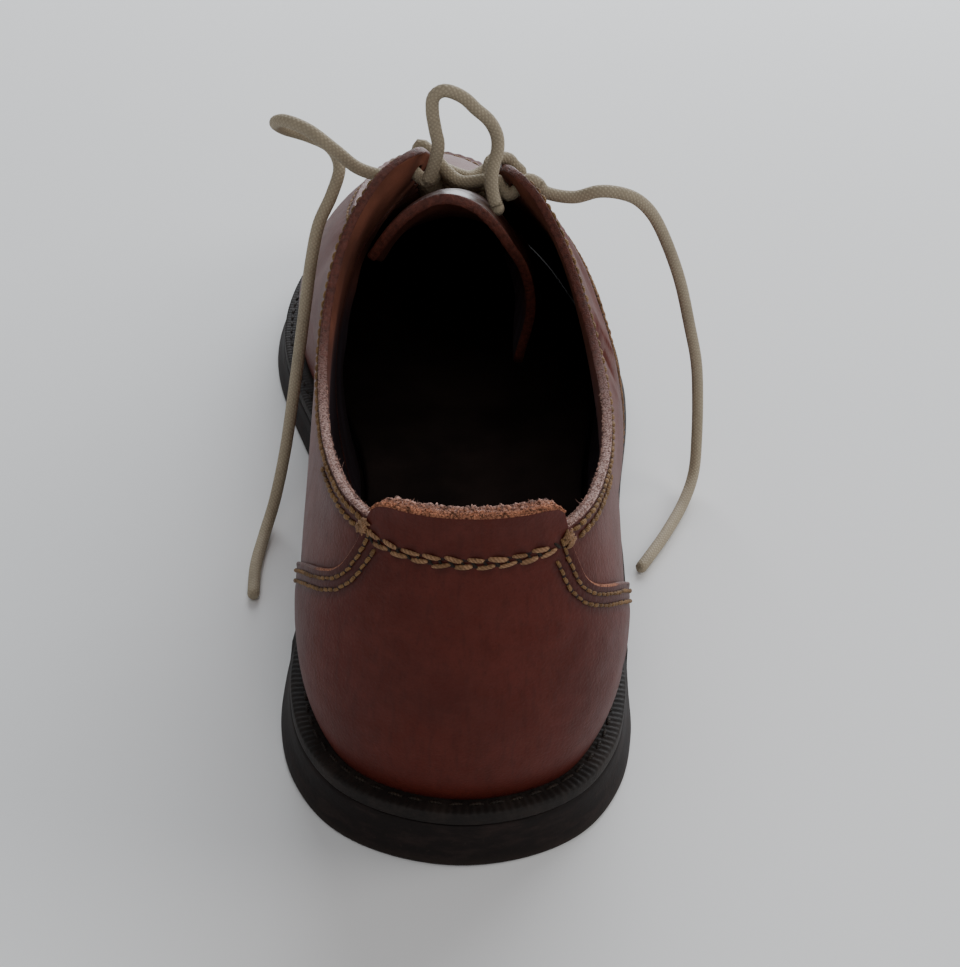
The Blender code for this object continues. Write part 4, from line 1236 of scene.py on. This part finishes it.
class ShoeQuarters(bpy.types.Operator):
    """Quarters from facing to facing round the heel, with collar, punched lace holes and soft dents"""

    bl_idname = "shoe.quarters"
    bl_label = "Quarters"
    bl_options = {"REGISTER", "UNDO"}
    columns = 300
    rows = 64
    skive = 6.5           # width over which the leather rises on to the vamp
    share_table = (0.0, 0.55, 1.0)
    height_table = (0.0, 0.7, 1.0)

    def surface(self, s, t):
        v = smooth_read(t, self.share_table, self.height_table)
        return (2 * s - 1) * seam_section(v), v

    def outer(self, u, v):
        return LAP - creases(u, v, QUARTER_CREASES)

    def inner(self, u, v):
        to_edge = (seam_section(v) - np.abs(u)) * section_length(u, v)
        on_vamp = 1 - soft_step(to_edge, self.skive - 1.5, self.skive)
        skived = soft_step(v, 0.88, 1.0)
        return -WALL + np.maximum((WALL + 0.06) * on_vamp, (WALL - COLLAR_IN) * skived)

    def execute(self, context):
        bm = flat_grid(self.columns, self.rows)
        places, u, v, w = leather_sheet(bm, self.surface, self.outer, self.inner)
        rows = collar_rows() + facing_rows() + front_rows()
        mesh = sewn_mesh(bm, places, u, v, w, rows, QUARTER_CREASES)
        piece = add_piece("quarters", mesh, upper_finishes())
        punch_holes(piece)
        return {"FINISHED"}


def hole_frames():
    """Middle and outward direction of each lace hole."""
    u = np.outer(HOLE_SECTIONS, SIDES).ravel()
    v = np.full(u.shape, HOLE_HEIGHT)
    return zip(on_last(u, v, np.full(u.shape, LAP)), last_normal(u, v))


def punch_holes(piece):
    """Cut the lace holes through a piece, with a rod for each."""
    bm = bmesh.new()
    for middle, face in hole_frames():
        turn = Vector(face).to_track_quat("Z", "Y").to_matrix().to_4x4()
        place = Matrix.Translation(metres(middle)) @ turn
        bmesh.ops.create_cone(bm, cap_ends=True, segments=20, radius1=HOLE / 2 * MM, radius2=HOLE / 2 * MM,
                              depth=ROD * MM, matrix=place)
    mesh = mesh_from(bm, "lace_holes")
    mesh.materials.append(upper_finishes()[EDGE])
    rods = add_object("lace_holes", mesh)
    cut = piece.modifiers.new("lace_holes", "BOOLEAN")
    cut.operation = "DIFFERENCE"
    cut.solver = "EXACT"
    cut.object = rods
    graph = bpy.context.evaluated_depsgraph_get()
    cut_mesh = bpy.data.meshes.new_from_object(piece.evaluated_get(graph))
    piece.modifiers.clear()
    piece.data = cut_mesh
    bpy.data.objects.remove(rods, do_unlink=True)


class ShoeCounter(bpy.types.Operator):
    """Heel counter with S-shaped sides and a tab that rises over the collar"""

    bl_idname = "shoe.counter"
    bl_label = "Heel counter"
    bl_options = {"REGISTER", "UNDO"}
    columns = 240
    rows = 64

    def surface(self, s, t):
        edge_u, edge_v = counter_line(2000)
        share = np.linspace(0, 1, 2000)
        top_u, top_v = np.interp(s, share, edge_u), np.interp(s, share, edge_v)
        foot_u = COUNTER_MIDDLE + (2 * s - 1) * COUNTER_EDGE[-1][0]
        return foot_u + (top_u - foot_u) * t, top_v * t

    def outer(self, u, v):
        curl = 0.35 * soft_step(v, 1.05, 1.16)
        return counter_lift(u) + curl - creases(u, v, COUNTER_CREASES)

    def inner(self, u, v):
        return COUNTER_IN + (TAB_IN - COUNTER_IN) * soft_step(v, 1.006, 1.03)

    def execute(self, context):
        bm = flat_grid(self.columns, self.rows)
        places, u, v, w = leather_sheet(bm, self.surface, self.outer, self.inner)
        mesh = sewn_mesh(bm, places, u, v, w, counter_rows() + smile_rows(), COUNTER_CREASES)
        finishes = panel_finishes("counter_grain", colours("counter"), 0.4, "tab_edge", colours("crumb"),
                                  COUNTER_WAX)
        add_piece("heel_counter_leather", mesh, finishes, ("heel_counter",))
        return {"FINISHED"}


def under_upper(x, y, z, clear):
    """Heights z, lowered where the upper's inside lies over them at a place in plan."""
    close = 1.0
    side = np.linspace(9, 18, 150)
    u, v = np.meshgrid(np.concatenate([side, -side]), np.linspace(0.5, 1, 84))
    inside = on_last(u, v, np.full(u.shape, -WALL - clear)).reshape(-1, 3)
    fall = np.zeros(z.shape)
    for k in np.ndindex(z.shape):
        near = np.hypot(inside[:, 0] - x[k], inside[:, 1] - y[k]) < close
        if near.any():
            fall[k] = max(z[k] - inside[near, 2].min(), 0.0)
    for _ in range(4):
        wide = np.pad(fall, 1, mode="edge")
        mean = (wide[:-2, 1:-1] + wide[2:, 1:-1] + wide[1:-1, :-2] + wide[1:-1, 2:]) / 4
        fall = np.maximum(fall, mean)
    return z - fall


class ShoeTongue(bpy.types.Operator):
    """Wide tongue, arched like a gutter, its back edge open to the heel"""

    bl_idname = "shoe.tongue"
    bl_label = "Tongue"
    bl_options = {"REGISTER", "UNDO"}
    columns = 84
    rows = 96
    lace_room = 2.6       # how far the tongue gives under the facings, where the lace lies on it
    lace_back = (122.0, 131.0)    # places along the shoe between which it starts to give, and ends
    lace_front = (166.0, 178.0)

    def coarse(self):
        """Places of the grain side on the grid of the part's own solid."""
        rows = table_columns(TONGUE_COLUMNS, TONGUE_ROWS)
        section = table_columns(TONGUE_SECTION_COLUMNS, TONGUE_SECTION)
        last_row = len(TONGUE_ROWS) - 1
        order = np.linspace(0, last_row, 2 * last_row + 1)
        value = {name: smooth_read(order, range(last_row + 1), column)[:, None]
                 for name, column in rows.items()}
        share = np.linspace(0, 1, TONGUE_ACROSS)
        out = smooth_read(share, section["share"], section["out"])
        fall = value["fall"] * smooth_read(share, section["share"], section["down"])
        x = value["centre"] + value["half"] * out
        y = value["y"] + TONGUE_LEAN * fall
        room = soft_step(y, *self.lace_back) * (1 - soft_step(y, *self.lace_front))
        z = under_upper(x, y, value["crown"] - fall, TONGUE_CLEAR) - self.lace_room * room
        return np.stack([x, y, z], -1)

    def fine(self):
        """The grain side on a fine grid, smooth between the coarse places."""
        grid = self.coarse()
        for axis, count in ((0, self.rows + 1), (1, self.columns + 1)):
            lines = np.moveaxis(grid, axis, 0)
            knots = np.linspace(0, 1, len(lines))
            at = np.linspace(0, 1, count)
            read = np.stack([smooth_read(at, knots, line) for line in lines.reshape(len(lines), -1).T], -1)
            grid = np.moveaxis(read.reshape((count,) + lines.shape[1:]), 0, axis)
        return grid

    def execute(self, context):
        bm = flat_grid(self.columns, self.rows)
        rim = give_thickness(bm)
        s, t, w = read_places(bm).T
        w = np.where(rim, (1 - np.cos(math.pi * w)) / 2, w)
        top = self.fine()
        face = unit(np.cross(np.gradient(top, axis=0), np.gradient(top, axis=1)))
        face *= np.sign(face[..., 2].sum())
        k, m = np.rint(t * self.rows).astype(int), np.rint(s * self.columns).astype(int)
        wave = 0.35 * np.sin(s * 9 + 4 * t) * soft_step(t, 0.3, 0.8)
        places = top[k, m] + face[k, m] * (wave - TONGUE * w)[:, None]
        inward = top[np.clip(k, 1, self.rows - 1), np.clip(m, 1, self.columns - 1)] - top[k, m]
        inward[rim] = unit(inward[rim])
        places[rim] += inward[rim] * (sizes("edge_round") * rounded(w[rim]))[:, None]
        seam, fold = np.full(len(s), FAR_FROM_SEAM), np.zeros(len(s))
        mesh = to_mesh(bm, places, seam=seam, fold=fold, depth=w)
        _, edge, inside = upper_finishes()
        grain = material("tongue_grain", leather, "tongue_grain", colours("tongue"), 0.3, 0.9)
        add_piece("tongue_leather", mesh, (grain, edge, inside), ("tongue",))
        return {"FINISHED"}


def round_the_shoe(columns, rows):
    """Grid of a band, which close_band joins: its sections, and shares of the way round the band."""
    bm = flat_grid(columns, rows)
    s, t, _ = read_places(bm).T
    return bm, (2 * s - 1) * TOE, t


def read_profile(names, rows, share):
    """Columns of a section's profile, apart from its first, at shares of the way round."""
    table = table_columns(names, rows)
    return [np.interp(share, table["share"], table[name]) for name in names[1:]]


def middle_x(y):
    """Middle of the sole at y, between its medial and lateral edges."""
    u = np.linspace(0.0, TOE, 600)
    lateral = np.interp(y, ring_at("sole_y", u), ring_at("edge_x", u))
    medial = np.interp(y, ring_at("sole_y", u), ring_at("edge_x", -u))
    return (lateral + medial) / 2


def close_band(name, bm, places):
    """Mesh of a band, with its meeting vertices merged and its faces turned out."""
    for vert, place in zip(bm.verts, metres(places)):
        vert.co = place
    bmesh.ops.remove_doubles(bm, verts=bm.verts, dist=0.004 * MM)
    bmesh.ops.dissolve_degenerate(bm, edges=bm.edges, dist=0.002 * MM)
    bmesh.ops.recalc_face_normals(bm, faces=bm.faces)
    return mesh_from(bm, name)


class ShoeSole(bpy.types.Operator):
    """Outsole with a flared, rounded side, a low heel and fine cross grooves underneath"""

    bl_idname = "shoe.sole"
    bl_label = "Outsole"
    bl_options = {"REGISTER", "UNDO"}
    columns = 560
    # share of the way round the section, outset there, height from tread 0 to welt 1, way to the middle
    profile_columns = ("share", "outset", "height", "inside")
    profile = (
        (0.0, -0.4, 1.0, 1.0), (0.14, -0.4, 1.0, 0.12), (0.2, -0.4, 1.0, 0.0), (0.24, 0.1, 0.94, 0.0),
        (0.36, 0.75, 0.62, 0.0), (0.48, 1.75, 0.28, 0.0), (0.54, 2.2, 0.1, 0.0), (0.58, 2.05, 0.03, 0.0),
        (0.62, 1.4, 0.0, 0.0), (0.68, 0.6, 0.0, 0.06), (1.0, 0.0, 0.0, 1.0),
    )
    rows = 60
    groove_pitch = 5.5
    groove_depth = 0.8

    def execute(self, context):
        bm, u, t = round_the_shoe(self.columns, self.rows)
        outset, height, inside = read_profile(self.profile_columns, self.profile, t)
        flat = outline(u, outset)
        x = flat[:, 0] + (middle_x(flat[:, 1]) - flat[:, 0]) * inside
        y = flat[:, 1]
        low, high = tread(y), seat(y) - WELT - GAP
        z = low + (high - low) * height
        wave = np.sin(y * 2 * math.pi / self.groove_pitch)
        on_ground = (tread(y) < 0.05) | (y > ARCH_END)
        groove = soft_step(wave, 0.55, 0.9) * soft_step(inside, 0.08, 0.16)
        z += self.groove_depth * groove * on_ground * (t > 0.6)
        mesh = close_band("outsole", bm, np.column_stack([x, y, z]))
        add_piece("outsole_rubber", mesh, (material("sole_side", sole_finish),), ("outsole",))
        return {"FINISHED"}


class ShoeWelt(bpy.types.Operator):
    """Welt with fine cross ribs on its top"""

    bl_idname = "shoe.welt"
    bl_label = "Welt"
    bl_options = {"REGISTER", "UNDO"}
    columns = 1840
    rows = 22
    rib_pitch = 1.65
    rib_depth = 0.22
    # share of the way round the strip's section, place across from the inside 0 to the edge 1, depth
    profile_columns = ("share", "across", "depth")
    profile = (
        (0.0, 0.0, 0.0), (0.1, 0.45, 0.0), (0.42, 0.92, 0.0), (0.48, 0.985, 0.12), (0.52, 1.0, 0.4),
        (0.66, 1.02, 2.6), (0.7, 1.01, 2.9), (0.74, 0.98, 3.0), (0.9, 0.0, 3.0), (1.0, 0.0, 0.0),
    )

    def execute(self, context):
        bm, u, t = round_the_shoe(self.columns, self.rows)
        across, depth = read_profile(self.profile_columns, self.profile, t)
        inside = -ring_at("margin", u) - WELT_INSIDE
        flat = outline(u, inside * (1 - across) - 0.15 * across)
        dense = np.linspace(-TOE, TOE, 8000)
        edge = outline(dense, np.zeros(8000))
        run = np.interp(u, dense, run_of(edge))
        rib = np.sin(run * 2 * math.pi / self.rib_pitch)
        top = soft_step(across, 0.5, 0.6) * (1 - soft_step(depth, 0.1, 1.2))
        z = seat(flat[:, 1]) - depth - self.rib_depth * (0.5 - 0.5 * rib) * top
        mesh = close_band("welt", bm, np.column_stack([flat, z]))
        add_piece("welt_strip", mesh, (material("welt_ribs", welt_finish),), ("welt",))
        return {"FINISHED"}


class ShoeInsole(bpy.types.Operator):
    """Footbed, cupped a little at the heel"""

    bl_idname = "shoe.insole"
    bl_label = "Insole"
    bl_options = {"REGISTER", "UNDO"}
    columns = 240
    rows = 24
    # share of the way round the section, height from the underside 0 to the top 1, way to the middle
    profile_columns = ("share", "height", "inside")
    profile = ((0.0, 0.0, 1.0), (0.3, 0.0, 0.0), (0.36, 0.85, 0.0), (0.42, 1.0, 0.03), (1.0, 1.0, 1.0))
    cup_depth = 1.2

    def execute(self, context):
        bm, u, t = round_the_shoe(self.columns, self.rows)
        height, inside = read_profile(self.profile_columns, self.profile, t)
        flat = outline(u, -ring_at("margin", u) - WELT_INSIDE - GAP)
        x = flat[:, 0] + (middle_x(flat[:, 1]) - flat[:, 0]) * inside
        y = flat[:, 1]
        cup = -self.cup_depth * soft_step(inside, 0.0, 0.7) * (height > 0.5)
        z = seat(y) - WELT + INSOLE * height + cup
        mesh = close_band("insole", bm, np.column_stack([x, y, z]))
        add_piece("insole_leather", mesh, (material("insole_worn", insole_finish),),
                  ("insole",))
        return {"FINISHED"}


class ShoeSeams(bpy.types.Operator):
    """Rows of stitches: collar, facings, quarter fronts, counter, tab, apron and toe"""

    bl_idname = "shoe.seams"
    bl_label = "Seams"
    bl_options = {"REGISTER", "UNDO"}
    pierced = ("collar", "facing", "front", "counter", "smile", "apron")

    def execute(self, context):
        rows = all_rows()
        width = sizes("thread")
        # The golden thread is a darker copy of the tan one, partly a golden tint and partly painted shade
        tan, gold_shaded, dark = (material(name, thread_finish, name, colours(name), darker(colours(shade), depth))
                           for name, shade, depth in (("thread", "thread_shade", 1.0),
                                                      ("thread_gold", "thread_shade", 0.8),
                                                      ("thread_dark", "welt", 0.6)))
        # The dark crossing thread under the tab is painted shade between its rows
        # breadth of the thread, share of the pitch that a stitch covers, lean to its row, finish
        looks = {"collar": (1.2, 0.96, 0.16, gold_shaded), "facing": (0.9, 0.9, 0.0, gold_shaded),
                 "front": (0.9, 0.9, 0.0, tan), "counter": (0.88, 0.9, 0.08, gold_shaded),
                 "smile": (1.15, 0.88, 0.12, tan), "crossing": (0.6, 1.15, 0.9, dark),
                 "apron": (1.0, 0.85, 0.0, gold_shaded), "welt": (0.9, 0.75, 0.0, dark),
                 "bartack": (0.8, 4.0, math.pi / 2, gold_shaded), "knot": (0.75, 1.0, 0.0, tan)}
        for seed, (name, (broad, share, lean, finish)) in enumerate(looks.items()):
            mesh = stitches(rows[name], broad * width, share, lean, seed)
            add_piece(name + "_seam", mesh, (finish,))
        # The needle holes are dark flat discs: painted shade
        pierced = [row for name in self.pierced for row in rows[name]]
        add_piece("needle_holes", needle_holes(pierced, width), (material("needle_hole", hole_shade_finish),))
        return {"FINISHED"}


def frames_along(ways, random):
    """Frames whose first direction is the given one, turned at random about it."""
    side = unit(np.cross(ways, random.normal(size=ways.shape)))
    return np.stack([ways, side, np.cross(ways, side)], 1)


class ShoeFibres(bpy.types.Operator):
    """Crumbs and loose fibres along the cut edges of the tab and the collar"""

    bl_idname = "shoe.fibres"
    bl_label = "Edge fibres"
    bl_options = {"REGISTER", "UNDO"}
    tab_crumbs = 1900
    collar_crumbs = 1500
    tab_fibres = 900
    collar_fibres = 900
    stray_hairs = 9

    def tab_places(self, random, count, far=0.0):
        """Places on the tab's cut edge, and how far each is to its inside, from 0 to 1."""
        away = random.uniform(-1.9, 1.9, count)
        lift = random.uniform(TAB_IN, COUNTER_OUT + 0.2 - far * (COUNTER_OUT - TAB_IN), count)
        tone = (COUNTER_OUT - lift) / (COUNTER_OUT - TAB_IN)
        return on_last(COUNTER_MIDDLE + away, counter_height(away) - 0.004, lift), tone

    def collar_places(self, random, count):
        """The same on the collar's cut edge near the tab, most of them along its inner corner."""
        u = random.choice(SIDES, count) * (2.05 + 4.2 * random.uniform(0, 1, count) ** 1.5)
        lift = -COLLAR_IN + (LAP + COLLAR_IN) * random.uniform(0, 1, count) ** 2
        return on_last(u, np.full(count, 0.998), lift), np.full(count, 1.0)

    def execute(self, context):
        random = np.random.default_rng(11)
        ball, hair = stitch_template(5, 4), stitch_template(3, 4)
        groups, tones = [], []
        for (places, tone), mean_size in ((self.tab_places(random, self.tab_crumbs), 0.2),
                                          (self.tab_places(random, self.tab_crumbs // 8, 0.75), 0.36),
                                          (self.collar_places(random, self.collar_crumbs), 0.13)):
            half = np.exp(random.normal(math.log(mean_size), 0.45, places.shape))
            turn = frames_along(unit(random.normal(size=places.shape)), random)
            groups.append(copies(ball, places, turn, half))
            tones.append(np.repeat(tone, len(ball[0])))
        for (places, tone), mean_length in ((self.tab_places(random, self.tab_fibres), 0.3),
                                            (self.collar_places(random, self.collar_fibres), 0.26),
                                            (self.collar_places(random, self.stray_hairs), 1.5)):
            ways = unit(random.normal(size=places.shape) * (1, 1, 0.5) + (0, 0, 0.8))
            half = mean_length * np.exp(random.normal(0, 0.35, len(places)))
            thick = random.uniform(0.035, 0.065, (len(places), 2))
            middles = places + ways * half[:, None] * 0.6
            groups.append(copies(hair, middles, frames_along(ways, random), np.column_stack([half, thick])))
            tones.append(np.repeat(tone, len(hair[0])))
        mesh = joined(groups, tone=np.concatenate(tones))
        add_piece("edge_fibres", mesh, (material("fibre", fibre_finish),))
        return {"FINISHED"}


RING = 14             # sides of a cord


def tube_places(path, radius, sides):
    """A tube along a path, its section carried along without twist: grid shares to places."""
    way = unit(np.gradient(path, axis=0))
    side = np.cross(way[0], (0.0, 0.0, 1.0) if abs(way[0][2]) < 0.9 else (0.0, 1.0, 0.0))
    first, second = [], []
    for t in way:
        side = unit(side - t * np.dot(side, t))
        first.append(side)
        second.append(np.cross(t, side))
    angles = np.linspace(0, 2 * math.pi, sides + 1)
    radius = np.broadcast_to(radius, len(path))[:, None, None]
    around = np.cos(angles)[None, :, None] * np.array(first)[:, None] \
        + np.sin(angles)[None, :, None] * np.array(second)[:, None]
    return path[:, None] + radius * around


def lace_mesh(routes):
    """Mesh of round cords along routes in millimetres, each with its way round and along as a UV map."""
    bm = bmesh.new()
    uv = bm.loops.layers.uv.new("way")
    for path, radius in routes:
        grid = tube_places(path, radius, RING)
        before = set(bm.verts)
        bmesh.ops.create_grid(bm, x_segments=RING, y_segments=len(path) - 1, size=0.5, calc_uvs=True)
        fresh = [vert for vert in bm.verts if vert not in before]
        run = run_of(path)
        for vert in fresh:
            k = round((vert.co.y + 0.5) * (len(path) - 1))
            m = round((vert.co.x + 0.5) * RING)
            vert.co = metres(grid[k, m])
        faces = {face for vert in fresh for face in vert.link_faces}
        for face in faces:
            for loop in face.loops:
                loop[uv].uv.y *= run[-1] / BRAID_PITCH
        bmesh.ops.remove_doubles(bm, verts=fresh, dist=0.01 * MM)
        ends = [edge for edge in bm.edges if edge.is_boundary]
        bmesh.ops.holes_fill(bm, edges=ends, sides=RING)
    bmesh.ops.recalc_face_normals(bm, faces=bm.faces)
    return mesh_from(bm, "lace")


def at_hole(hole, *lifts):
    """Places on the axis of a lace hole."""
    u, v = hole
    return on_last(np.full(len(lifts), u), np.full(len(lifts), v), np.array(lifts))


def on_facing(hole, other, lift):
    """Places on the facing from a hole to the facing's edge, slanting towards another hole."""
    (u, v), share = hole, np.array([0.1, 0.55, 1.0])
    slant = LACE_SLANT * (abs(other[0]) - abs(u)) * np.sign(u)
    return on_last(u + slant * share, v + (1 - v) * share, np.full(3, lift))


def over_facing(hole, other):
    """Lace that comes up out of a hole and runs over the facing to its edge."""
    return np.vstack([at_hole(hole, -WALL - 0.6, LAP - 0.4), on_facing(hole, other, LACE_LIFT)])


def into_hole(hole):
    """Lace that goes up through a hole to the outside, from a top hole on to where its free end starts."""
    u, _ = hole
    if abs(u) > HOLE_SECTIONS[-1]:
        return at_hole(hole, -0.9, LAP + 0.3)
    end = lace_end_route(-1, MEDIAL_ROUTE) if u < 0 else lace_end_route(1, LATERAL_ROUTE)
    return np.vstack([at_hole(hole, -0.9, LAP + 0.9), end[:1]])


def under_facing(hole, other):
    """Lace that comes in under the facing's edge and goes up into a hole."""
    under = on_facing(hole, other, -WALL - LACE / 2 - 0.1)[::-1]
    return np.vstack([under, into_hole(hole)])


def crossing(start, end, sag):
    """Lace from one facing's edge to the other's, sagging between them."""
    low = (start[-1] + end[0]) / 2 - np.array([0.0, 0.0, sag])
    return np.vstack([start, low, end])


def lace_legs():
    """Routes of the lace between its holes: over one facing, across the gap and under the other."""
    holes = [[(side * section, HOLE_HEIGHT) for side in SIDES] for section in HOLE_SECTIONS]
    low, top = holes[0], holes[-1]
    legs = [crossing(under_facing(low[0], low[1])[::-1], under_facing(low[1], low[0]), BAR_SAG)]
    for here, there in zip(holes, holes[1:]):
        legs.append(crossing(over_facing(here[0], there[1]), under_facing(there[1], here[0]), LACE_SAG))
        if there is not top:
            upper = under_facing(there[0], here[1])
            legs.append(crossing(over_facing(here[1], there[0]), upper, LACE_SAG - UPPER_SAG))
    # the last crossing is slack: it is drawn up into the loop
    legs.append(np.vstack([over_facing(holes[-2][1], top[0]), SLACK_ROUTE, LOOP_ROUTE[-1:]]))
    legs.append(np.vstack([LOOP_ROUTE[:1], at_hole(top[0], -WALL - 1.0), into_hole(top[0])]))
    return [smooth_route(leg, CORD_SPACING) for leg in legs]


def lace_end_route(side, route):
    """Route of a free end: from beside its top hole, over the facing, then the places of its fall."""
    leave = table_columns(LEAVE_COLUMNS, LEAVE)
    u = np.full(len(LEAVE), side * HOLE_SECTIONS[-1])
    return np.concatenate([on_last(u, HOLE_HEIGHT - leave["down"], LACE_REST + leave["lift"]), route])


class ShoeLaces(bpy.types.Operator):
    """Lace through the holes, with its loop and its two free ends"""

    bl_idname = "shoe.laces"
    bl_label = "Laces"
    bl_options = {"REGISTER", "UNDO"}

    def execute(self, context):
        mesh = lace_mesh([(leg, LACE / 2) for leg in lace_legs()])
        add_piece("lace_bars", mesh, (material("lace_braid", lace_finish),), ("laces",))
        self.cord("lace_loop", LOOP_ROUTE, "object")
        self.cord("lace_end_lateral", lace_end_route(1, LATERAL_ROUTE), "bare")
        self.cord("lace_end_medial", lace_end_route(-1, MEDIAL_ROUTE), "bare")
        return {"FINISHED"}

    def cord(self, name, route, far_end):
        path = smooth_route(route, CORD_SPACING)
        run = run_of(path)
        tip = soft_step(run[-1] - run, 0.0, 1.2) if far_end == "bare" else np.ones(len(run))
        radius = LACE / 2 * (0.55 + 0.45 * tip)
        piece = add_piece(name + "_cord", lace_mesh([(path, radius)]), (material("lace_braid", lace_finish),),
                          (name,))
        metres(path[0])
        metres(path)


class ShoeStage(bpy.types.Operator):
    """Pale floor, soft light and the camera at the photograph's angle"""

    bl_idname = "shoe.stage"
    bl_label = "Stage"
    bl_options = {"REGISTER", "UNDO"}
    floor_half = 4.0
    sky = (0.93, 0.96, 1.0, 1.0)
    sky_strength = 0.3
    aim = (0.0, 0.0, 0.04)    # where the lights point, in metres
    # name, place in metres, width, power, colour
    lights = (
        ("window", (0.35, 1.45, 0.85), 1.8, 42.0, (0.92, 0.96, 1.0)),
        ("side", (1.35, 0.1, 0.8), 0.9, 6.5, (1.0, 0.97, 0.94)),
        ("front", (0.1, -1.3, 1.4), 1.4, 7.0, (1.0, 0.97, 0.94)),
    )

    def execute(self, context):
        self.floor()
        self.camera()
        self.world()
        for light in self.lights:
            self.light(*light)
        return {"FINISHED"}

    def floor(self):
        bm = bmesh.new()
        bmesh.ops.create_grid(bm, x_segments=24, y_segments=24, size=self.floor_half)
        bmesh.ops.recalc_face_normals(bm, faces=bm.faces)
        mesh = mesh_from(bm, "floor")
        mesh.materials.append(floor_finish())
        floor = add_object("floor", mesh)

    def camera(self):
        data = bpy.data.cameras.new("camera")
        data.sensor_fit = "HORIZONTAL"
        data.sensor_width = SENSOR
        data.lens = FOCAL_PIXELS / PHOTO_WIDTH * SENSOR
        data.clip_start = 0.01
        pitch, yaw, roll = (math.radians(angle) for angle in (CAMERA_PITCH, CAMERA_YAW, CAMERA_ROLL))
        ahead = Vector((math.sin(yaw) * math.cos(pitch), math.cos(yaw) * math.cos(pitch), -math.sin(pitch)))
        right = Vector((math.cos(yaw), -math.sin(yaw), 0.0))
        up = right.cross(ahead)
        right, up = (right * math.cos(roll) + up * math.sin(roll),
                     up * math.cos(roll) - right * math.sin(roll))
        aim = (ahead * FOCAL_PIXELS + right * (FRAME_CENTRE[0] - PHOTO_CENTRE[0])
               - up * (FRAME_CENTRE[1] - PHOTO_CENTRE[1])).normalized()
        turn = ahead.rotation_difference(aim).to_matrix()
        axes = Matrix((turn @ right, turn @ up, -(turn @ ahead))).transposed().to_4x4()
        camera = add_object("camera", data)
        camera.matrix_world = Matrix.Translation(metres(CAMERA_PLACE)) @ axes
        bpy.context.scene.camera = camera

    def world(self):
        world = bpy.data.worlds.new("studio")
        world.use_nodes = True
        background = world.node_tree.nodes["Background"]
        background.inputs["Color"].default_value = self.sky
        background.inputs["Strength"].default_value = self.sky_strength
        bpy.context.scene.world = world

    def light(self, name, place, size, power, colour):
        data = bpy.data.lights.new(name, "AREA")
        data.shape = "DISK"
        data.size = size
        data.energy = power
        data.color = colour
        lamp = add_object(name, data)
        lamp.location = place
        lamp.rotation_euler = (Vector(self.aim) - Vector(place)).to_track_quat("-Z", "Y").to_euler()


OPERATORS = (ShoeStage, ShoeLaces, ShoeVamp, ShoeQuarters, ShoeCounter, ShoeTongue, ShoeSole, ShoeWelt,
             ShoeInsole, ShoeSeams, ShoeFibres)


class ShoePanel(bpy.types.Panel):
    """Sizes, colours and pieces of the shoe"""

    bl_idname = "VIEW3D_PT_shoe"
    bl_label = "Split toe shoe"
    bl_space_type = "VIEW_3D"
    bl_region_type = "UI"
    bl_category = "Shoe"

    def draw(self, context):
        for group in (context.scene.shoe_sizes, context.scene.shoe_colours):
            box = self.layout.box()
            for name in group.__annotations__:
                box.prop(group, name)
        for operator in OPERATORS:
            self.layout.operator(operator.bl_idname)


CLASSES = (ShoeColours, ShoeSizes, *OPERATORS, ShoePanel)


def register():
    for item in CLASSES:
        bpy.utils.register_class(item)
    bpy.types.Scene.shoe_colours = PointerProperty(type=ShoeColours)
    bpy.types.Scene.shoe_sizes = PointerProperty(type=ShoeSizes)


def unregister():
    del bpy.types.Scene.shoe_sizes
    del bpy.types.Scene.shoe_colours
    for item in reversed(CLASSES):
        bpy.utils.unregister_class(item)


def main():
    register()
    for operator in OPERATORS:
        group, name = operator.bl_idname.split(".")
        getattr(getattr(bpy.ops, group), name)()


if __name__ == "__main__":
    main()
